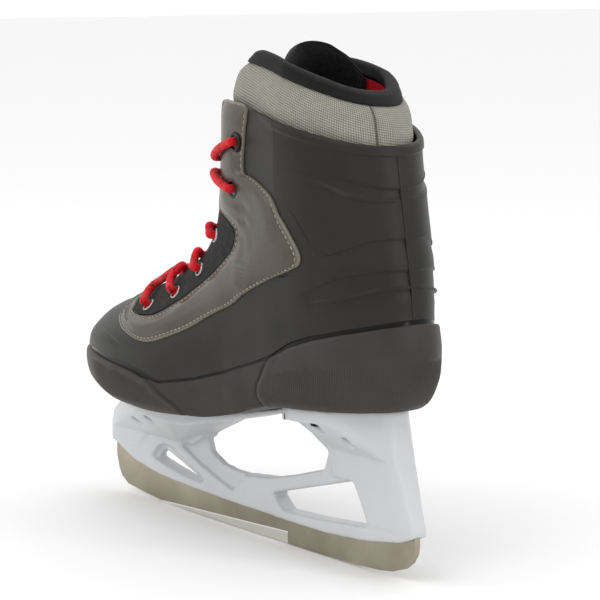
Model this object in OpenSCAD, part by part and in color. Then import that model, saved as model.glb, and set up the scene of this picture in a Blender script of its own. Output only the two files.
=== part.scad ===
// Hockey-style recreational ice skate, left foot, with a moulded boot,
// a removable sewn liner and a riveted blade holder.
// +X points to the toe, +Y to the outer side of the foot, +Z up.
// The origin is the middle of the blade's running edge.

/* [Runner] */
// Thickness of the steel runner
runner_t = 3; // [2.6:0.1:3.6]
// Height of the runner's tang inside the holder's rail
tang_h = 3.4; // [3:0.2:5]

/* [Blade holder] */
// Thickness of the holder's rail
rail_t = 10; // [9:0.5:12]
// Thickness of the flanges under the sole
flange_t = 4; // [3:0.5:5]
// Diameter of the pockets that reach the rivets from below
pocket_d = 8.8; // [8.4:0.2:11]

/* [Boot] */
// Wall of the moulded shell
shell_t = 3.4; // [3:0.1:4]
// How far the sole unit stands out from the shell
sole_out = 1.2; // [0.8:0.1:1.6]
// Thickness of the sewn overlay
overlay_t = 1.2; // [0.8:0.1:1.6]
// Wall of the sewn liner
liner_t = 3.8; // [3:0.1:4.2]
// Wall of the felt lining
felt_t = 1.4; // [1:0.1:1.8]

/* [Tongue] */
// Half width of the tongue
tongue_hw = 23.6; // [22:0.5:24.5]
// Thickness of the tongue's felt pad
tongue_t = 6; // [4:0.5:7]

/* [Lace] */
// Diameter of the round lace
lace_d = 4.4; // [4:0.1:4.8]

/* [Hidden] */
$fn = 32;

// The boot's surface: slices between a heel point R and a toe point F,
// numbered by v from the sole's edge (0) to the shell's rim (1) and on to
// the collar's edge (1.2). t runs round a slice: 0 at the toe side, 1 at the
// heel, positive on the outer side.
FX = [[0,132],[.06,138.5],[.14,141],[.22,139],[.30,132],[.38,116],[.46,92],
      [.54,66],[.62,42],[.70,22],[.78,10],[.86,5],[.94,3],[1,2],[1.06,-1],
      [1.12,-5],[1.2,-14],[1.3,-26]];
FZ = [[0,72],[.06,76],[.14,83],[.22,92],[.30,101],[.38,109],[.46,116],
      [.54,124],[.62,134],[.70,146],[.78,161],[.86,180],[.94,202],[1,222],
      [1.06,231],[1.12,238],[1.2,245],[1.3,252]];
RX = [[0,-133],[.06,-137],[.14,-140],[.22,-140.5],[.30,-139],[.38,-137],
      [.46,-135],[.54,-132.5],[.62,-130.5],[.70,-129],[.78,-127],[.86,-125],
      [.94,-123],[1,-121.5],[1.06,-119.5],[1.12,-117.5],[1.2,-113],[1.3,-107]];
RZ = [[0,82],[.06,90],[.14,100],[.22,110],[.30,121],[.38,130],[.46,139],
      [.54,148],[.62,157],[.70,166],[.78,176],[.86,187],[.94,198],[1,206],
      [1.06,213],[1.12,219],[1.2,225.5],[1.3,233]];
LF = [[0,72],[.1,80],[.2,80],[.3,76],[.4,66],[.5,58],[.6,52],[.7,48],[.8,46],
      [.9,45],[1,44],[1.2,40]];
LR = [[0,52],[.1,58],[.2,58],[.3,56],[.4,54],[.5,52],[.6,50],[.9,50],[1,46],[1.2,36]];
WH = [[0,33],[.1,35],[.2,35.5],[.3,35],[.4,35],[.5,35.5],[.6,36],[.8,36],
      [.9,35.5],[1,34.5],[1.2,30]];
WW = [[0,35],[.1,38],[.2,38.5],[.3,38],[.4,37.5],[.5,37.5],[.6,37],[1,37],[1.2,35]];
WB = [[0,45],[.1,49],[.2,48.5],[.3,45],[.4,41],[.5,38],[.6,35],[.7,33],[.8,33],
      [.9,34],[1,34],[1.2,33]];
WI = [[0,0],[.15,1],[.4,2],[.68,3],[1,3]];
PK = [[0,0],[.2,0],[.34,.16],[.46,.22],[.58,.16],[.7,.06],[.85,0],[1.2,0]];
SG = [[0,0],[.16,-1],[.26,-2],[.33,-5],[.38,-8.6],[.5,-13.2],[.62,-13.6],
      [.74,-12],[.88,-7],[1,0]];
ZO = [[0,0],[.18,0],[.24,.3],[.31,.8],[.38,.95],[.55,.9],[.85,.2],[1,0],[1.3,0]];
TF = 0.34;
TR = 0.34;

function ss(x) = let (c = min(1, max(0, x))) c * c * (3 - 2 * c);
function S(v, t, off = 0) =
    let (fx = lookup(v, FX), fz = lookup(v, FZ), rx = lookup(v, RX), rz = lookup(v, RZ),
         L = norm([fx - rx, fz - rz]),
         lf = min(lookup(v, LF), 0.52 * L), lr = min(lookup(v, LR), 0.47 * L),
         a = abs(t),
         ph = a < TF ? 90 * a / TF : a > 1 - TR ? 90 * (1 - a) / TR : 90,
         al = a < TF ? L - lf + lf * cos(ph)
            : a > 1 - TR ? lr - lr * cos(ph)
            : (L - lf) + (lr - L + lf) * (a - TF) / (1 - TF - TR),
         s = al / L, wi = lookup(s, WI),
         wh = lookup(v, WH), ww = lookup(v, WW), wb = lookup(v, WB),
         w0 = wi < 1 ? wh : wi < 2 ? wh + (ww - wh) * (wi - 1) : ww + (wb - ww) * (wi - 2),
         w = w0 * (1 - lookup(v, PK) * ss((s - 0.4) / 0.45)),
         y = (w - off) * pow(sin(ph), 0.92) * sign(t),
         al2 = off + al * (L - 2 * off) / L,
         yc = -7 * pow(max(0, (s - 0.55) / 0.45), 2) * min(1, max(0, (fx + 10) / 120)),
         sag = lookup(s, SG) * pow(max(0, 1 - v / 0.24), 1.4),
         bump = 4.5 * sin(180 * pow(s, 1.15)) * ss((v - 0.72) / 0.28)
              + min(1.5, max(0, (v - 1) / 0.2)) * 2.2 * y / 35)
    [rx + (fx - rx) / L * al2, y + yc,
     rz + (fz - rz) / L * al2 + sag + bump - off * lookup(v, ZO)];
function unit(a) = a / max(1e-9, norm(a));
// Outward normal of the surface
function N(v, t) = unit(cross(S(v, t + 0.01) - S(v, t - 0.01), S(v + 0.01, t) - S(v - 0.01, t)));
// Height of slice v over the point x of the middle plane
function zl(v, x) =
    let (fx = lookup(v, FX), fz = lookup(v, FZ), rx = lookup(v, RX), rz = lookup(v, RZ),
         s = (x - rx) / (fx - rx))
    rz + (fz - rz) * s + lookup(s, SG) * pow(max(0, 1 - v / 0.24), 1.4);

// How far the shell and all inside it step in where the sole unit wraps them
function ix(v, t) = 2.2 * (1 - ss((v - lookup(abs(t), VT) - .01) / .07));
// Outset of the shell from S above the sole unit's edge
function sx(v, t) = let (a = abs(t)) (1.2 + .8 * ss((a - .6) / .2)) * (1 - ss((v - lookup(a, VT)) / .2));
// Top edge of the sole unit, the throat's edge and the liner's front edge
VT = [[0,.168],[.25,.166],[.3,.156],[.345,.146],[.375,.136],[.395,.122],[.43,.10],
      [.49,.118],[.54,.14],[.59,.17],[.625,.2],[.66,.256],[.724,.29],[.8,.316],
      [.884,.336],[.96,.348],[1,.35]];
TT = [[.56,0],[.562,.06],[.567,.085],[.573,.11],[.58,.132],[.59,.16],[.60,.178],
      [.62,.19],[.66,.193],[.71,.187],[.76,.18],[.82,.182],[.88,.184],[.94,.188],[1,.195]];
TL = [[.335,0],[.342,.22],[.355,.38],[.375,.44],[.42,.46],[.9,.46],[1,.44]];
function tr(i, n, t0) = let (u = i / n) u <= 0.5 ? t0 + (1 - t0) * 2 * u : -(t0 + (1 - t0) * 2 * (1 - u));

// A wall between an outer grid O and an inner grid I, both [row][column].
// Rows up to jt close round the toe; above it the wall is open in front.
module wall(O, I, n, jt, cap) {
    m = len(O) - 1;
    k = (m + 1) * (n + 1);
    function o(j, i) = j <= jt && i == n ? j * (n + 1) : j * (n + 1) + i;
    function q(j, i) = k + o(j, i);
    faces = concat(
        [for (j = [0:m - 1], i = [0:n - 1]) [o(j, i), o(j, i + 1), o(j + 1, i + 1), o(j + 1, i)]],
        [for (j = [0:m - 1], i = [0:n - 1]) [q(j + 1, i), q(j + 1, i + 1), q(j, i + 1), q(j, i)]],
        [for (i = [0:n - 1]) [o(m, i), o(m, i + 1), q(m, i + 1), q(m, i)]],
        cap ? concat(
            [[o(0, 0), o(0, n - 1), o(0, 1)]],
            [for (i = [1:n / 2 - 2]) [o(0, i), o(0, n - i), o(0, n - i - 1), o(0, i + 1)]],
            [[o(0, n / 2 - 1), o(0, n / 2 + 1), o(0, n / 2)]],
            [[q(0, 0), q(0, 1), q(0, n - 1)]],
            [for (i = [1:n / 2 - 2]) [q(0, i), q(0, i + 1), q(0, n - i - 1), q(0, n - i)]],
            [[q(0, n / 2 - 1), q(0, n / 2), q(0, n / 2 + 1)]])
        : [for (i = [0:n - 1]) [o(0, i + 1), o(0, i), q(0, i), q(0, i + 1)]],
        [for (j = [max(0, jt):1:m - 1]) if (j >= jt) [o(j, 0), o(j + 1, 0), q(j + 1, 0), q(j, 0)]],
        [for (j = [max(0, jt):1:m - 1]) if (j >= jt) [o(j + 1, n), o(j, n), q(j, n), q(j + 1, n)]]);
    polyhedron([for (r = O, p = r) p, for (r = I, p = r) p], faces, convexity = 8);
}

// A plate between two closed loops
module plate(A, B) {
    n = len(A);
    function a(i) = i % n;
    function b(i) = n + i % n;
    polyhedron(concat(A, B), concat(
        [for (i = [0:n - 1]) [a(i), a(i + 1), b(i + 1), b(i)]],
        [[a(0), a(n - 1), a(1)]],
        [for (i = [1:n / 2 - 2]) [a(i), a(n - i), a(n - i - 1), a(i + 1)]],
        [[a(n / 2 - 1), a(n / 2 + 1), a(n / 2)]],
        [[b(0), b(1), b(n - 1)]],
        [for (i = [1:n / 2 - 2]) [b(i), b(i + 1), b(n - i - 1), b(n - i)]],
        [[b(n / 2 - 1), b(n / 2), b(n / 2 + 1)]]), convexity = 4);
}
function loop(v, off, n) = [for (i = [0:n - 1]) S(v, tr(i, n, 0), off)];

// A slab between two open grids
module slab(O, I) {
    m = len(O) - 1;
    n = len(O[0]) - 1;
    k = (m + 1) * (n + 1);
    function o(j, i) = j * (n + 1) + i;
    function q(j, i) = k + o(j, i);
    polyhedron([for (r = O, p = r) p, for (r = I, p = r) p], concat(
        [for (j = [0:m - 1], i = [0:n - 1]) [o(j, i), o(j, i + 1), o(j + 1, i + 1), o(j + 1, i)]],
        [for (j = [0:m - 1], i = [0:n - 1]) [q(j + 1, i), q(j + 1, i + 1), q(j, i + 1), q(j, i)]],
        [for (i = [0:n - 1]) [o(m, i), o(m, i + 1), q(m, i + 1), q(m, i)]],
        [for (i = [0:n - 1]) [o(0, i + 1), o(0, i), q(0, i), q(0, i + 1)]],
        [for (j = [0:m - 1]) [o(j, 0), o(j + 1, 0), q(j + 1, 0), q(j, 0)]],
        [for (j = [0:m - 1]) [o(j + 1, n), o(j, n), q(j, n), q(j + 1, n)]]), convexity = 8);
}

module side(h) { rotate([90, 0, 0]) linear_extrude(height = h, center = true) children(); }

// ---- runner ----
// Lower edge of the holder's rail, which the runner's bright face meets
RB = [[-150,26],[-141,22.5],[-132,19],[-103,14.6],[-72,12.6],[-51,12.5],[2,13],
      [30,13.6],[58,14.4],[88,16],[113,20],[129,26],[138,30],[150,35]];
POST = [[104, 29], [-113, 32]];
function rt(x, d = 0) = [x, lookup(x, RB) + tang_h + d];
module runner() {
    color("silver") difference() {
        side(runner_t) polygon(concat(
            [[136,27],[136.2,20],[134,12.5],[130.5,7.6],[124,4.2],[105,2.2],
             [89,.9],[60,.2],[33,0],[-33,0],[-60,.2],[-94,.7],[-112,1.7],[-122,3],
             [-130,5.5],[-136,9.6],[-139.2,14.5],[-140,19],[-139.6,23.5]],
            [for (x = [-135:5:-125]) rt(x)], [rt(-118.5), [-118.5, 38], [-107.5, 38], rt(-107.5)],
            [for (x = [-98:8:94]) rt(x)], [rt(98.5), [98.5, 35], [109.5, 35], rt(109.5)],
            [for (x = [114:5:134]) [x, min(rt(x)[1], 30.5)]]));
        for (p = POST) translate([p[0], 0, p[1]]) rotate([90, 0, 0])
            cylinder(d = 8.2, h = 20, center = true);
        for (p = POST) translate([p[0], 0, p[1]]) cylinder(d = 5.6, h = 20);
    }
}
module runner_nuts() {
    color("dimgray") for (p = POST) translate([p[0], 0, p[1]]) difference() {
        rotate([90, 0, 0]) cylinder(d = 8, h = 7.4, center = true);
        translate([0, 0, -2]) cylinder(d = 5.2, h = 20);
    }
}
function screw_top(p) = zl(0, p[0]) - flange_t - 3;
module runner_screws() {
    color("gray") for (p = POST) {
        translate([p[0], 0, p[1] - 1.5]) cylinder(d = 5.1, h = screw_top(p) - p[1] + 1.6);
        translate([p[0], 0, screw_top(p)]) difference() {
            cylinder(d = 10, h = 5);
            translate([0, 0, 2.2]) cylinder(d = 5, h = 4, $fn = 6);
        }
    }
}

// ---- holder ----
RIVF = [[90, 16], [70, 20], [40, 20]];
RIVR = [[-64, 19], [-86, 19], [-104, 15]];
function both(l) = [for (p = l, s = [1, -1]) [p[0], p[1] * s]];
PLF = [[-30,3],[-26,8],[-16,15],[0,21],[20,26],[45,28],[70,28],[88,25],[98,20],[105,15],[110,9],[111.5,3]];
PLR = [[-124,3],[-122.5,7],[-118,10.5],[-113,14.5],[-106,20],[-98,24],[-84,26],[-68,25.5],[-58,22],[-50,14],[-46,3]];
module plan(pl) {
    polygon(concat([for (p = pl) [p[0], p[1]]],
        [for (i = [len(pl) - 1:-1:0]) [pl[i][0], -pl[i][1]]]));
}
module band(x0, x1, d0, d1) {
    side(120) polygon(concat([for (x = [x0:5:x1]) [x, zl(0, x) - d0]],
        [for (x = [x1:-5:x0]) [x, zl(0, x) - d1]]));
}
// a slice of a pillar: round at x1, nearly square at x0
module cut(z, x0, x1, w, r0 = 2) {
    translate([x1 - w, 0, z]) cylinder(r = w, h = 0.5);
    for (s = [1, -1]) translate([x0 + r0, s * (w - r0), z]) cylinder(r = r0, h = 0.5, $fn = 16);
}
module holder_body() {
    intersection() {
        side(rail_t) difference() {
            polygon(concat(
                [[139,31],[138,38],[132,46],[122,53],[112,57],[96,61],[30,61],[10,60],[22,54],[42,45],
                 [38,36],[27,31.5],[15,30],[0,30],[-20,32],[-40,36.5],[-60,42],[-69,44.5],
                 [-73,54],[-52,63.5],[-40,70],[-60,74],[-121,76],[-128,56],[-138,34],[-141,26]],
                [for (x = [-141:5:138]) [x, lookup(x, RB)]]));
            polygon([[-23,24.6],[-95,43],[-106,21.8],[-60,18.4],[-32,17.4]]);
        }
        linear_extrude(height = 90) {
            translate([-142, -rail_t / 2]) square([276, rail_t]);
            translate([134, 0]) circle(r = rail_t / 2);
        }
    }
    hull() {
        translate([0, 0, 57]) linear_extrude(height = 1) plan(concat([[18, 9], [24, 20]], [for (p = PLF) if (p[0] > 40) p]));
        cut(45, 42, 134, 8.5, 4);
        cut(38, 60, 135, 7.5, 4);
    }
    hull() {
        cut(41, 90, 136, 7, 3);
        cut(28, 106, 138.5, 5.4, 3);
    }
    hull() {
        translate([0, 0, 74.5]) linear_extrude(height = 1) plan(PLR);
        cut(57, -129, -74, 8, 3);
    }
    hull() {
        cut(57, -129, -73, 8, 3);
        cut(43, -135, -74, 6.5, 3);
    }
    hull() {
        cut(43, -135, -92, 6.5, 3);
        cut(24, -140.5, -104, 5.5, 3);
    }
    intersection() {
        linear_extrude(height = 90) plan(PLF);
        side(120) polygon(concat([for (x = [-35:5:115]) [x, zl(0, x) - .1]],
            [[113,62],[98,57],[45,53],[25,54],[8,58],[-12,62.5],[-35,68]]));
    }
    intersection() { linear_extrude(height = 90) plan(PLR); band(-130, -40, 0.1, flange_t + 3); }
}
module blade_holder() {
    color("white") difference() {
        holder_body();
        side(120) polygon(concat([for (x = [-150:5:150]) [x, zl(0, x) - 0.1]], [[150, 120], [-150, 120]]));
        // the front window, its recess, and the thin web behind the strut
        side(60) polygon([[91,24.2],[84.5,30.2],[78,28.6],[43,18.4],[62,19.4],[76,21.8]]);
        for (s = [1, -1]) translate([0, s * 32, 0]) {
            side(60) polygon([[94,24.8],[87,32],[80,33.5],[72,32.5],[38,19.6],[45,18.6],[62,19.4],[78,21.8]]);
            side(60) polygon([[66,36.5],[52,38],[41,43.5],[36,44],[20,33],[2,31],[6,25.5],[14,19.4],[28,23],[47,28.8]]);
        }
        side(runner_t + 0.4) polygon(concat(
            [[-150, 5], [-140.4, 5], [-140.4, 19], [-140, 24], [-135.2, rt(-135)[1] + .3]],
            [for (x = [-130:5:-100]) rt(x, .3)], [for (x = [-92:8:108]) rt(x, .3)],
            [for (x = [114:5:134]) [x, min(rt(x)[1], 30.5) + .3]], [[136.4, 27.3], [136.6, 20], [150, 5]]));
        for (p = POST) {
            translate([p[0] - 5.8, -runner_t / 2 - 0.2, 10]) cube([11.6, runner_t + 0.4, p[1] - 3.7]);
            translate([p[0], 0, p[1]]) rotate([90, 0, 0]) cylinder(d = 8.4, h = 7.8, center = true);
            translate([p[0], 0, p[1]]) cylinder(d = 5.6, h = 60);
            translate([p[0], 0, screw_top(p) - 0.2]) cylinder(d = 10.8, h = 30);
        }
        for (p = both(concat(RIVF, RIVR))) {
            translate([p[0], p[1], 30]) cylinder(d = 5.4, h = 60);
            translate([p[0], p[1], zl(0, p[0]) - flange_t - 4.6]) cylinder(d = pocket_d, h = 4.6);
        }
    }
}

// ---- rivets ----
module rivets(l) {
    for (p = both(l)) {
        zb = zl(0, p[0]) - flange_t;
        zt = zl(0.102, p[0]) + 1.35;
        translate([p[0], p[1], zb - 1.4]) cylinder(d = 8, h = 1.3);
        translate([p[0], p[1], zb - 0.2]) cylinder(d = 5, h = zt - zb + 0.3);
        translate([p[0], p[1], zt]) cylinder(d = 7.4, h = 0.9);
    }
}
module front_rivets() { color("gray") rivets(RIVF); }
module rear_rivets() { color("gray") rivets(RIVR); }
module rivet_washers() {
    color("silver") for (p = both(concat(RIVF, RIVR)))
        translate([p[0], p[1], zl(0.102, p[0]) + 0.7]) difference() {
            cylinder(d = 9.6, h = 0.6);
            translate([0, 0, -1]) cylinder(d = 5.3, h = 4);
        }
}
module rivet_holes() {
    for (p = both(concat(RIVF, RIVR))) translate([p[0], p[1], 50]) cylinder(d = 5.4, h = 50);
}

// ---- sole unit and shell ----
ns = 48;
module cup_sole() {
    rows = [0, .04, .12, .22, .4, .6, .8, 1];
    wob = [3.2, 1.6, .8, .3, 0, 0, .2, .4];
    O = [for (j = [0:7]) [for (i = [0:ns]) let (t = tr(i, ns, 0)) S(rows[j] * lookup(abs(t), VT), t, wob[j] + 1.2 - sole_out)]];
    I = [for (j = [0:7]) [for (i = [0:ns]) let (t = tr(i, ns, 0), v0 = 0.045, v1 = lookup(abs(t), VT))
        S(v0 + (v1 - v0) * j / 7, t, 3.6)]];
    color([.25, .24, .23]) difference() { wall(O, I, ns, 99, true); rivet_holes(); }
}
VS = [.05, .08, .1, .0, .0, .30, .38, .46, .52, .56, .567, .58, .60, .62, .66, .71, .76, .82, .88, .94, 1];
module boot_shell() {
    // rows 2 and 3 follow the sole unit's top edge
    function vo(j, t) = let (e = lookup(abs(t), VT))
        j == 0 ? .05 : j == 1 ? (.05 + e) / 2 : j == 2 ? e + .003 : j == 3 ? e + .009
        : j == 4 ? e + .03 : let (a = (j - 4) / 4) j < 8 ? (e + .03) * (1 - a) + .50 * a : VS[j];
    function vi(j, t) = j <= 8 ? .085 + (.50 - .085) * j / 8 : VS[j];
    m = len(VS) - 1;
    function t0(j) = j < 9 ? 0 : lookup(VS[j], TT);
    O = [for (j = [0:m]) [for (i = [0:ns]) let (t = tr(i, ns, t0(j)), v = j == 8 ? .50 : vo(j, t)) S(v, t, j <= 2 ? 4.3 : sx(v, t))]];
    I = [for (j = [0:m]) [for (i = [0:ns]) let (t = tr(i, ns, t0(j)), v = vi(j, t)) S(v, t, max(shell_t, sx(v, t) + 2.4) + ix(v, t))]];
    color([.2, .19, .18]) difference() {
        wall(O, I, ns, 9, true);
        rivet_holes();
        eyelet_holes();
    }
}
module insole_board() {
    color("tan") difference() {
        plate(loop(.088, 6.6, ns), loop(.102, 6.6, ns));
        rivet_holes();
    }
}

// ---- overlay and facing ----
OV = [[1,.40, 1,.195],[.96,.368, .96,.19],[.89,.36, .90,.185],[.876,.44, .86,.182],
      [.858,.54, .835,.182],[.83,.63, .815,.20],[.774,.674, .795,.265],[.712,.70, .772,.316],
      [.648,.716, .742,.354],[.608,.71, .70,.376],[.59,.69, .65,.382],[.548,.616, .60,.39],
      [.482,.562, .55,.397],[.42,.542, .50,.402],[.358,.508, .434,.41],[.294,.478, .378,.406],
      [.254,.446, .338,.39],[.228,.418, .326,.368],[.228,.392, .328,.345],[.246,.362, .338,.326],
      [.274,.328, .352,.307],[.31,.292, .375,.29],[.36,.262, .405,.255],[.41,.215, .455,.20],
      [.46,.13, .505,.12],[.497,0, .535,0]];
FC = [[.822,.187, .812,.183],[.795,.257, .79,.182],[.772,.308, .76,.181],[.742,.346, .735,.184],
      [.70,.368, .71,.188],[.65,.374, .685,.191],[.60,.382, .665,.193],[.55,.389, .65,.194],
      [.50,.394, .635,.193],[.434,.402, .62,.191],[.378,.398, .61,.186],[.342,.384, .60,.179],
      [.333,.366, .595,.171],[.334,.345, .59,.161],[.343,.328, .585,.149],[.358,.31, .58,.133],
      [.381,.293, .573,.111],[.412,.255, .567,.086],[.462,.20, .5625,.062],[.512,.12, .5615,.03],
      [.542,0, .5605,0]];
// A band on the boot from the outer side's top, round the toe end, to the
// inner side's top
module ustrip(tb, o0, o1, np) {
    k = len(tb);
    rows = concat([for (i = [0:k - 1]) [tb[i], 1]], [for (i = [k - 2:-1:0]) [tb[i], -1]]);
    function pt(r, p, off) = let (a = r[0], u = p / np)
        S(a[0] * (1 - u) + a[2] * u, (a[1] * (1 - u) + a[3] * u) * r[1], off);
    slab([for (r = rows) [for (p = [0:np]) pt(r, p, o1)]], [for (r = rows) [for (p = [0:np]) pt(r, p, o0)]]);
}
module eyestay_overlay() {
    color([.42, .40, .37]) difference() { ustrip(OV, -0.4, -0.4 - overlay_t, 7); eyelet_holes(); }
}
module eyelet_facing() {
    color([.16, .16, .16]) difference() { ustrip(FC, -0.35, -1.15, 6); eyelet_holes(); }
}

// ---- eyelets ----
EU = [[.852,.314],[.944,.318]];
EL = [[.382,.346],[.474,.354],[.608,.300],[.740,.230]];
module at_eye(e, s) {
    p = S(e[0], e[1], -1.5);
    n = N(e[0], e[1]);
    translate([p[0], p[1] * s, p[2]]) rotate([0, acos(n[2]), atan2(n[1] * s, n[0])]) children();
}
module eyelet(od, id) {
    rotate_extrude() union() {
        translate([id / 2, -4.9]) square([0.3, 5.3]);
        translate([id / 2, 0.05]) square([(od - id) / 2, 0.6]);
        translate([(od + id) / 4, 0.5]) circle(r = 0.55, $fn = 16);
    }
}
module eyelet_holes() {
    for (e = concat(EU, EL), s = [1, -1]) at_eye(e, s) translate([0, 0, -8]) cylinder(d = 6.4, h = 12);
}
module upper_eyelets() { color([.1, .1, .1]) for (e = EU, s = [1, -1]) at_eye(e, s) eyelet(10.4, 5.8); }
module lower_eyelets() { color([.35, .35, .35]) for (e = EL, s = [1, -1]) at_eye(e, s) eyelet(8.4, 5.8); }

// ---- liner ----
nl = 44;
lo = shell_t + 0.5;
function lx(v, t) = max(shell_t, sx(v, t) + 2.4) + ix(v, t) + 0.5 + .45 * (1 - ss((v - .34) / .15));
module liner_body() {
    VB = [.128, .16, .20, .24, .28, .31, .335, .342, .355, .375, .42, .50, .62, .74, .86, .965];
    VI = [.155, .18, .212];
    function t0(j) = j < 7 ? 0 : lookup(VB[j], TL);
    O = [for (j = [0:15]) [for (i = [0:nl]) let (t = tr(i, nl, t0(j))) S(VB[j], t, lx(VB[j], t) + (j == 0 ? 3 : 0))]];
    I = [for (j = [0:15]) [for (i = [0:nl]) let (t = tr(i, nl, t0(j)), v = j < 3 ? VI[j] : VB[j]) S(v, t, lx(v, t) + liner_t + (j == 0 ? 2 : 0))]];
    color([.12, .12, .12]) wall(O, I, nl, 6, true);
}
module liner_lining() {
    VB = [.160, .185, .212, .24, .28, .31, .328, .342, .355, .375, .42, .50, .62, .74, .86, .96, 1.06, 1.17];
    function t0(j) = j < 7 ? 0 : VB[j] > .95 ? .475 : lookup(VB[j], TL) + .02;
    function d(v, t) = lx(v, t) + liner_t + 0.55;
    O = [for (j = [0:17]) [for (i = [0:nl]) let (t = tr(i, nl, t0(j))) S(VB[j], t, d(VB[j], t) + (j == 0 ? 2 : 0))]];
    I = [for (j = [0:17]) [for (i = [0:nl]) let (t = tr(i, nl, t0(j)), v = j == 0 ? .170 : j == 1 ? .19 : j == 2 ? .214 : VB[j]) S(v, t, d(v, t) + felt_t + (j == 0 ? 1.5 : 0))]];
    color([.8, .05, .08]) wall(O, I, nl, 6, true);
}
module liner_collar() {
    VB = [.972, 1.0, 1.05, 1.1, 1.15, 1.185];
    f = [0.6, 0.2, -0.8, -1, -0.4, 0.6];
    O = [for (j = [0:5]) [for (i = [0:nl]) S(VB[j], tr(i, nl, .225), lo + f[j])]];
    I = [for (j = [0:5]) [for (i = [0:nl]) S(VB[j], tr(i, nl, .225), lo + liner_t)]];
    color([.66, .66, .6]) wall(O, I, nl, -1, false);
}
module collar_binding() {
    VB = [1.188, 1.21, 1.245, 1.27];
    O = [for (j = [0:3]) [for (i = [0:nl]) S(VB[j], tr(i, nl, .225), lo + (j == 3 ? 1.2 : 0))]];
    I = [for (j = [0:3]) [for (i = [0:nl]) S(VB[j], tr(i, nl, .225), lo + liner_t + 1.6 - (j == 3 ? 1.2 : 0))]];
    color([.08, .08, .08]) wall(O, I, nl, -1, false);
}
module footbed() {
    d = lo + liner_t + felt_t + 6;
    color([.3, .3, .32]) plate(loop(.172, d, ns), loop(.195, d, ns));
}

// ---- tongue ----
HINGE = [66, 108];
TP = [[64,111],[50,117.5],[33,125],[16,134.5],[1,148],[-8,166],[-12.5,186],[-17,205],
      [-24,222],[-34,238],[-44,250],[-49,256.5]];
function tq(u) = let (x = u * (len(TP) - 1), k = min(floor(x), len(TP) - 2), f = x - k) TP[k] * (1 - f) + TP[k + 1] * f;
function tn(u) = let (a = tq(min(1, u + .06)) - tq(max(0, u - .06)), l = norm(a)) [-a[1] / l, a[0] / l] * -1;
module tongue_sheet(d0, d1, u0, u1, hw, nu, nw) {
    function half(u) = hw * min(1, 0.62 + 1.2 * u) * (1 + .05 * ss((u - .6) / .2)) * (u > .9 ? pow(max(0.01, 1 - pow((u - .9) / .11, 3)), .4) : 1);
    function p(u, w, d) = let (c = tq(u), n = tn(u), h = half(u), y = w * h,
        z = (15 + 6 * ss((u - .25) / .2)) * pow(abs(y) / 24, 2.2) * (u < .2 ? .55 + 2.25 * u : 1), q = c - n * (z + d)) [q[0], y, q[1]];
    slab([for (j = [0:nu]) [for (i = [0:nw]) p(u0 + (u1 - u0) * j / nu, i / nw * 2 - 1, d0)]],
         [for (j = [0:nu]) [for (i = [0:nw]) p(u0 + (u1 - u0) * j / nu, i / nw * 2 - 1, d1)]]);
}
module tongue_face() { color([.1, .1, .1]) tongue_sheet(0, 1.4, .02, .985, tongue_hw, 24, 12); }
module tongue_pad() { color([.05, .05, .05]) tongue_sheet(1.8, 1.8 + tongue_t, .02, .985, tongue_hw, 24, 12); }
module tongue_binding() { color([.08, .08, .08]) tongue_sheet(0.4, 1.2 + tongue_t, .988, 1.0, tongue_hw, 1, 12); }

// ---- lace ----
// where it passes the flap's edge after each eyelet, and before the next one
LE = [[.585,.135],[.604,.18],[.675,.192],[.765,.18],[.885,.184],[.915,.187]];
LU = [[.60,.178],[.59,.15],[.64,.193],[.715,.186],[.82,.182],[.915,.187]];
EY = concat(EL, EU);
function mir(p, s) = [p[0], p[1] * s, p[2]];
function hole(k, s, d) = let (e = EY[k]) mir(S(e[0], e[1], -1.5) + N(e[0], e[1]) * d, s);
TZ = [for (p = TP) [p[1], p[0]]];
// a point d in front of the tongue's face at height z
function ton(z, d) = let (a = [lookup(z + 5, TZ) - lookup(z - 5, TZ), 10], l = norm(a)) [lookup(z, TZ) + a[1] / l * d, 0, z - a[0] / l * d];
function out(e, s, d) = mir(S(e[0], e[1], -1.6) + N(e[0], e[1]) * d, s);
MH = [6.4, 5, 4.4, 4.4, 4.2, 4.2];
// over the flap's edge from eyelet k on side s towards the crossing
function over(k, s) = let (e = LE[k], m = (EY[k] + e) / 2, a = k < 4 ? [5.6, .038, -1.6] : [4.7, .029, -.9])
    [hole(k, s, .8), hole(k, s, 2.6), hole(k, s, 4.2), out(m, s, MH[k]), out([e[0], e[1] + .012], s, a[0]), mir(S(e[0], e[1] - a[1], a[2]), s)];
// from the inside point U up through eyelet k
function turn(k, s, U) = let (a = hole(k, s, k == 4 ? -7.3 : -7.9)) [a + unit(U - a) * 3.6, a, hole(k, s, -5.8)];
// from eyelet k on side s, over its edge, to the next one on the other side
function cross_over(k, s) = k == 0 ?
    // the lowest one lies on the boot's front before it goes in
    let (U = mir(S(.592, .146, shell_t + 3), -s))
    concat([hole(0, s, .8), hole(0, s, 2.6), hole(0, s, 4.2), mir(S(.44, .29, -5.3), s), mir(S(.492, .23, -5.6), s), mir(S(.526, .13, -5.7), s),
        mir(S(.548, .02, s > 0 ? -9.8 : -5), s), mir(S(.575, .055, -4.6), -s), mir(S(.588, .09, .5), -s), U], turn(1, -s, U)) :
    let (u = LU[k + 1], E = over(k, s), U = mir(S(u[0], u[1] - .012, shell_t + 3), -s),
         M = ton((E[5][2] + U[2]) / 2, s > 0 ? 9 : 4.4))
    concat(E, [(E[5] + M) / 2 + [.6, 0, .4], M, (M + U) / 2 + [.6, 0, .4], U], turn(k + 1, -s, U));
function chain(s) = concat([for (k = [0:4]) for (p = cross_over(k, k % 2 == 0 ? s : -s)) p]);
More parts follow.
